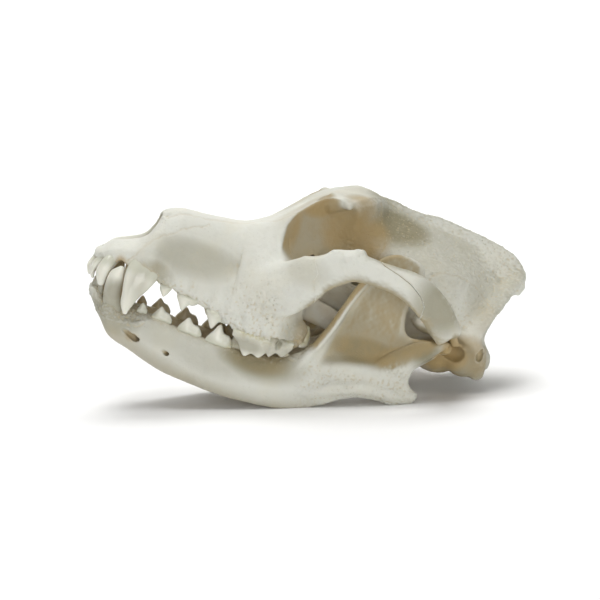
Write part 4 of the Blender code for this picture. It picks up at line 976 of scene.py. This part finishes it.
def blade(place, heading, rows, crown, up):
    """A cheek tooth's crown as a skin along the jaw, and its roots."""
    turn = np.array([[cos(radians(heading)), sin(radians(heading))],
                     [-sin(radians(heading)), cos(radians(heading))]])
    rings = []
    for along, half, height in spline(rows, 40):
        outline = [(half * 0.5, FOOT), (half, SHOULDER)]
        outline += [(half * a, height * b) for a, b in CROWNS[crown]]
        outline += [(-half, SHOULDER), (-half * 0.5, FOOT)]
        ring = []
        for side, rise in loop(outline, 32):
            x, y = np.array([along, side]) @ turn
            ring.append((place[0] + x, place[1] + y, place[2] + rise * up))
        rings.append(ring)
    pieces = [skin(rings)]
    widest = max(row[1] for row in rows)
    thick = min(widest * ROOT_WIDTH, ROOT_MOST)
    for along in root_places(rows):
        for side in ((-0.4, 0.22) if crown == "grinding" else (0,)):
            x, y = np.array([along, side * widest]) @ turn
            root = [(place[0] + x, place[1] + y + out, place[2] + rise * up, thick * part, thick * part)
                    for rise, out, part in ROOTS]
            pieces.append(rod(root, (0, 1, 0), 20))
    return pieces


def tooth_row(name, pointed, cheek, up, gum, shade_patches):
    """One side's teeth of one jaw, in one mesh with a closed body for each tooth."""
    pieces = [peg(rows) for rows in pointed]
    for place, heading, crown, rows in cheek:
        pieces += blade(place, heading, rows, crown, up)
    row = fuse(mesh_of(name, pieces), TOOTH_GRAIN)
    clay = Clay(row)
    clay.smooth(4)
    if up < 0:
        clay.press(*ROOT_SLOT, way=(0, -1, 0))
    x, y, z = clay.points.T
    rise = (z - read_off(gum, x)) * up
    clay.raise_by(speckles(clay.points, 40, (1.6, 0.06), (0.8, 0.03)))
    # Painted shade: brown on the sides that face the tongue, grey in patches and on the lower canine
    # under the upper teeth
    inner = 0.85 * step(clay.normals[:, 1], 0.0, -0.6) * step(x, 6, 10)
    grey = patch_strength(clay.points, shade_patches)
    if up > 0:
        grey = strongest(grey, 0.8 * step(x, 24, 18) * step(z, 1, -10))
    paint(row, rise=rise, tartar=step(x, 66, 71), stain=inner, grey=grey)
    return row


teeth = []
for name, pointed, cheek, up, gum, shade_patches in (
        ("upper", UPPER_POINTED, UPPER_CHEEK, -1, UPPER_GUM, UPPER_SHADE_PATCHES),
        ("lower", LOWER_POINTED, LOWER_CHEEK, 1, LOWER_GUM, LOWER_SHADE_PATCHES)):
    right = tooth_row("skull_teeth_" + name + "_right", pointed, cheek, up, gum, shade_patches)
    left = in_scene("skull_teeth_" + name + "_left", right.data.copy())
    turn_over(left)
    teeth += [right, left]


# Painted shade, with some dust, in the hollows that a brush can't reach. Each point learns how much
# of the sky it sees, from rays cast out over the whole skull.
RAYS, SAMPLED, REACH = 20, 9000, 60.0
LIFT = 0.4              # of a ray's start above the bone
SPREADING = 24          # passes that carry the result to the points between


def darken(pieces):
    """Gives each point of the pieces the share of rays that leave it without meeting bone."""
    corners, faces, start = [], [], 0
    for piece in pieces:
        corners.append(read(piece.data.vertices, "co"))
        faces += [tuple(i + start for i in face.vertices) for face in piece.data.polygons]
        start += len(corners[-1])
    tree = BVHTree.FromPolygons(np.concatenate(corners).tolist(), faces)
    draw = np.random.default_rng(7)
    aims = draw.normal(size=(RAYS, 3))
    aims /= np.linalg.norm(aims, axis=1)[:, None]
    for piece, points in zip(pieces, corners):
        clay = Clay(piece)
        chosen = draw.choice(len(points), min(len(points), SAMPLED), replace=False)
        seen = np.full(len(points), -1.0)
        for i in chosen:
            normal = clay.normals[i]
            begin = Vector(points[i] + normal * LIFT)
            free, total = 0.0, 0.0
            for aim in aims:
                slope = aim @ normal
                aim = aim if slope > 0 else -aim
                total += abs(slope)
                hit = tree.ray_cast(begin, Vector(aim), REACH)
                free += abs(slope) * (1 if hit[0] is None else (hit[3] / REACH)**2)
            seen[i] = free / total
        # Painted light: the shade of the hollows is lifted where light reaches deep inside
        lit_inside = patch_strength(clay.mirrored(), LIT_INSIDE)
        paint(piece, open=np.clip(strongest(spread(clay, seen), lit_inside), 0, 1))


def spread(clay, seen):
    """Values known at some points, and below 0 elsewhere, run out over the mesh."""
    a, b = clay.edges.T
    count = len(seen)
    known = (seen >= 0).astype(float)
    value = np.where(known > 0, seen, 0)
    for _ in range(SPREADING):
        weight = known + np.bincount(a, known[b], count) + np.bincount(b, known[a], count)
        total = value * known + np.bincount(a, (value * known)[b], count)
        total += np.bincount(b, (value * known)[a], count)
        value = np.where(weight > 0, total / np.maximum(weight, 1e-9), 0)
        known = (weight > 0).astype(float)
    return value


darken(bones + teeth)


# The bone's finish: matt, chalky and nearly white, a little warmer in patches, with pores and
# hairline grain, grey painted shade over the temples, and brown stains and painted shade in hollows.
CLEAN_BONE = (0.645, 0.645, 0.58, 1)
WARM_BONE = (0.655, 0.635, 0.53, 1)
DUST_AND_SHADE_BONE = (0.52, 0.45, 0.30, 1)
STAINED_AND_SHADED_BONE = (0.38, 0.27, 0.115, 1)
GREY_BONE = (0.33, 0.315, 0.24, 1)
SHADED_BONE = (0.22, 0.20, 0.12, 1)     # the darkest that greying reaches, at 1.35
SHADED = 0.74                           # so that greying of 1 gives GREY_BONE


class Wire:
    """A value or colour in a finish, for sums like those of plain numbers."""

    def __init__(self, finish, socket):
        self.finish = finish
        self.socket = socket

    def sum(self, operation, a, b):
        """One step of arithmetic between wires or numbers."""
        return self.finish.add("ShaderNodeMath", {"operation": operation}, {0: a, 1: b})

    def __add__(self, other):
        return self.sum("ADD", self, other)

    __radd__ = __add__

    def __sub__(self, other):
        return self.sum("SUBTRACT", self, other)

    def __rsub__(self, other):
        return self.sum("SUBTRACT", other, self)

    def __mul__(self, other):
        return self.sum("MULTIPLY", self, other)

    __rmul__ = __mul__

    def __pow__(self, power):
        return self.sum("POWER", self, power)

    def above(self, low, high):
        """0 where this is below low and 1 above high, smooth between."""
        return self.finish.add("ShaderNodeMapRange", {"interpolation_type": "SMOOTHSTEP"},
                               {"Value": self, "From Min": low, "From Max": high})


class Finish:
    """A material whose nodes are added from its colours inward."""

    def __init__(self, name):
        self.material = bpy.data.materials.new(name)
        self.material.use_nodes = True
        self.tree = self.material.node_tree
        self.surface = self.tree.nodes["Principled BSDF"]
        where = self.add("ShaderNodeTexCoord", {}, {}, "Object")
        self.place = self.add("ShaderNodeVectorMath", {"operation": "SCALE"},
                              {0: where, "Scale": 1000.0})

    def add(self, kind, settings, values, out=0):
        """One node of this kind, its settings made first and then its sockets joined."""
        node = self.tree.nodes.new(kind)
        for name, value in settings.items():
            setattr(node, name, value)
        for name, value in values.items():
            self.join(value, node.inputs[name])
        return Wire(self, node.outputs[out])

    def join(self, value, socket):
        """A wire is linked to the socket, and a plain value set on it."""
        if isinstance(value, Wire):
            self.tree.links.new(value.socket, socket)
        else:
            socket.default_value = value

    def kept(self, name):
        """A value painted on the mesh."""
        return self.add("ShaderNodeAttribute", {"attribute_name": name}, {}, "Fac")

    def noise(self, size, detail=3.0, rough=0.55):
        """Cloudy noise whose lumps are about this many millimetres across."""
        return self.add("ShaderNodeTexNoise", {}, {"Vector": self.place, "Scale": 1 / size,
                                                   "Detail": detail, "Roughness": rough})

    def cells(self, size):
        """The distance to the nearest of many scattered points."""
        return self.add("ShaderNodeTexVoronoi", {}, {"Vector": self.place, "Scale": 1 / size})

    def mix(self, amount, a, b):
        """Colour a, turning to colour b with amount."""
        node = self.tree.nodes.new("ShaderNodeMix")
        node.data_type = "RGBA"
        for name, value in ((0, amount), (6, a), (7, b)):
            self.join(value, node.inputs[name])
        return Wire(self, node.outputs[2])

    def set(self, **values):
        """Sockets of the surface, named with _ for each space."""
        for name, value in values.items():
            self.join(value, self.surface.inputs[name.replace("_", " ")])

    def under_skin(self, share, *reach):
        """Light that enters by this share, and how far red, green and blue go in."""
        self.set(Subsurface_Weight=share, Subsurface_Radius=reach, Subsurface_Scale=0.0015)

    def relief(self, height, depth):
        """Bump of this depth in millimetres."""
        return self.add("ShaderNodeBump", {}, {"Height": height, "Distance": depth / 1000,
                                               "Strength": 1.0})


def bone_finish(name):
    """Dry bone: clouds, blots, painted shade and light, pores, dust and painted shade, stains."""
    bone = Finish(name)
    rough, crease = bone.kept("rough"), bone.kept("crease")
    stain = bone.kept("stain") * (0.86 + 0.28 * bone.noise(9.0, 3.0).above(0.3, 0.7))
    clouds = bone.noise(16.0, 4.0).above(0.42, 0.66)
    blots = bone.noise(4.5, 4.0).above(0.50, 0.72)
    hidden = 1 - bone.kept("open").above(0.25, 0.92)
    pores = 1 - bone.cells(1.6).above(0.10, 0.30)
    specks = pores * bone.noise(7.0).above(0.48, 0.62) * (0.25 + rough)
    colour = CLEAN_BONE
    for amount, tint in ((clouds * 0.45, WARM_BONE),
                         (blots * (0.08 + 0.16 * rough), GREY_BONE),
                         # painted shade in grey, where shadow falls
                         (bone.kept("grey") * SHADED, SHADED_BONE),
                         # painted shade in creases, and painted light on ridges
                         (crease.above(0.1, 1.0) * 0.55, DUST_AND_SHADE_BONE),
                         ((1 - crease.above(-1.0, -0.15)) * 0.25, CLEAN_BONE),
                         (specks * 0.45, GREY_BONE),
                         # painted shade in the hollows, with some dust
                         (hidden * 0.5, DUST_AND_SHADE_BONE),
                         # stains, and brown painted shade in hollows and under the arch
                         (stain.above(0.0, 1.1) * 0.9, STAINED_AND_SHADED_BONE),
                         (bone.kept("seam") * 0.15, STAINED_AND_SHADED_BONE)):
        colour = bone.mix(amount, colour, tint)
    grain = bone.noise(0.7, 5.0, 0.65)
    height = grain * (0.5 + 0.9 * rough) + bone.noise(2.6, 3.0) * (0.7 + 0.9 * rough) - specks * 0.8
    bone.set(Base_Color=colour, Roughness=0.52 + 0.18 * grain, Normal=bone.relief(height, 0.3))
    bone.set(Specular_IOR_Level=0.35)
    bone.under_skin(0.06, 1.0, 0.6, 0.35)
    return bone.material


for bone in bones:
    rest(bone)
    node = bone.name.replace("skull_", "")
    bone.data.materials.clear()
    bone.data.materials.append(bone_finish("bone_" + node))
    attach(bone, "root")
    if node == "cranium":
        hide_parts("snout", "braincase", "temporal_arch_left", "temporal_arch_right")
    else:
        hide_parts(node)


# The teeth's finish: ivory, whiter at the tips, glossy, with yellow-brown tartar at the gum of
# the cheek teeth, and painted shade in grey or brown where they lie in shadow or are hidden.
TIP_ENAMEL = (0.71, 0.70, 0.61, 1)
IVORY = (0.565, 0.565, 0.465, 1)
TARTAR = (0.45, 0.40, 0.22, 1)


def tooth_finish():
    """Ivory to enamel, crusted at the gum, then painted shade in grey, and in brown where it is hidden.
    """
    enamel = Finish("tooth_enamel")
    rise, tartar = enamel.kept("rise"), enamel.kept("tartar")
    crust = enamel.noise(1.8, 4.0).above(0.42, 0.62) * (1 - rise.above(0.5, 4.5)) * tartar
    hidden = 1 - enamel.kept("open").above(0.05, 0.55)
    colour = IVORY
    for amount, tint in ((rise.above(0.0, 4.0), TIP_ENAMEL),
                         (crust * 0.6, TARTAR),
                         ((1 - rise.above(-0.8, 0.6)) * 0.5 * tartar, TARTAR),
                         # painted shade, grey and then brown, in these three layers
                         (enamel.kept("grey"), GREY_BONE),
                         (hidden ** 1.5 * 0.7, STAINED_AND_SHADED_BONE),
                         (enamel.kept("stain") * 0.75, STAINED_AND_SHADED_BONE)):
        colour = enamel.mix(amount, colour, tint)
    height = enamel.noise(0.8, 4.0) * (0.25 + crust)
    enamel.set(Base_Color=colour, Roughness=0.24 + 0.3 * crust, Normal=enamel.relief(height, 0.1))
    enamel.set(Coat_Roughness=0.12, Coat_Weight=0.25)
    enamel.under_skin(0.12, 1.0, 0.7, 0.4)
    return enamel.material


enamel = tooth_finish()
for tooth in teeth:
    rest(tooth)
    tooth.data.materials.append(enamel)
    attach(tooth, "root")
    node = "snout" if "upper" in tooth.name else "mandible_" + tooth.name.rsplit("_", 1)[1]


# The table and the light: a wide white sweep under three big soft lamps and a faint white sky,
# as a museum photographs bone.
SWEEP_COLOUR = (0.93, 0.93, 0.925, 1)
SWEEP_BACK, SWEEP_RADIUS = 1.2, 0.8     # where it starts to rise, and how tightly
SWEEP_FRONT, SWEEP_HALF, SWEEP_TOP, SWEEP_STEPS = 3.0, 4.0, 4.0, 16
WORLD_LIGHT = 0.22


def sweep():
    """A floor that curves up into a backdrop behind the skull."""
    profile = [(-SWEEP_FRONT, 0.0), (SWEEP_BACK, 0.0)]
    for k in range(1, SWEEP_STEPS + 1):
        turn = k / SWEEP_STEPS * pi / 2
        profile.append((SWEEP_BACK + SWEEP_RADIUS * sin(turn), SWEEP_RADIUS * (1 - cos(turn))))
    profile.append((SWEEP_BACK + SWEEP_RADIUS, SWEEP_TOP))
    mesh = bpy.data.meshes.new("floor")
    points = [(x, y, z) for x in (-SWEEP_HALF, SWEEP_HALF) for y, z in profile]
    count = len(profile)
    faces = [(k, k + count, k + count + 1, k + 1) for k in range(count - 1)]
    mesh.from_pydata(points, [], faces)
    mesh.shade_smooth()
    floor = in_scene("floor", mesh)
    paper = Finish("paper")
    paper.set(Base_Color=SWEEP_COLOUR, Roughness=0.9)
    mesh.materials.append(paper.material)


def lamp(name, place, size, watts, aim=(0, 0, 0.05)):
    """A soft round lamp that faces the skull, or another aim."""
    light = bpy.data.lights.new(name, "AREA")
    light.shape = "DISK"
    light.size = size
    light.energy = watts
    holder = in_scene(name, light)
    holder.location = place
    holder.rotation_euler = (Vector(aim) - Vector(place)).to_track_quat("-Z", "Y").to_euler()


sweep()
lamp("key", (-0.2, -0.45, 1.6), 0.8, 10.0)
lamp("fill", (0.1, -1.6, 0.2), 1.2, 13.2)
lamp("backdrop", (0, 0.7, 2.2), 1.6, 40.0, aim=(0, 1.9, 0.5))
world = bpy.data.worlds.new("studio")
world.use_nodes = True
sky = world.node_tree.nodes["Background"].inputs
sky["Color"].default_value = (1, 1, 1, 1)
sky["Strength"].default_value = WORLD_LIGHT
bpy.context.scene.world = world
bpy.context.scene.view_settings.view_transform = "Standard"


# The camera: a long lens at the left side, a little above the skull and a little towards its
# front. Its angles were found with the palate tipped by FITTED_TILT, and it turns with the skull.
FITTED_TILT, AZIMUTH, ELEVATION, ROLL = 17.5, 5.9, 7.8, 0.7
DISTANCE, FOCUS_PIXELS, IMAGE_PIXELS, SENSOR = 0.733, 1562.0, 600.0, 36.0
AIM = (0.0963, 0, -0.0188)
turn = Matrix.Rotation(radians(REST_TILT - FITTED_TILT), 3, "Y")
azimuth, elevation = radians(AZIMUTH), radians(ELEVATION)
look = Vector((sin(azimuth) * cos(elevation), cos(azimuth) * cos(elevation), -sin(elevation)))
facing = look.to_track_quat("-Z", "Y") @ Quaternion((0, 0, 1), -radians(ROLL))
lens = bpy.data.cameras.new("camera")
lens.sensor_width = SENSOR
lens.lens = FOCUS_PIXELS * SENSOR / IMAGE_PIXELS
lens.clip_start = 0.01
camera = in_scene("camera", lens)
target = turn @ Vector(AIM) + Vector(REST_PLACE) / 1000
camera.location = target - turn @ look * DISTANCE
camera.rotation_mode = "QUATERNION"
camera.rotation_quaternion = (turn @ facing.to_matrix()).to_quaternion()
bpy.context.scene.camera = camera
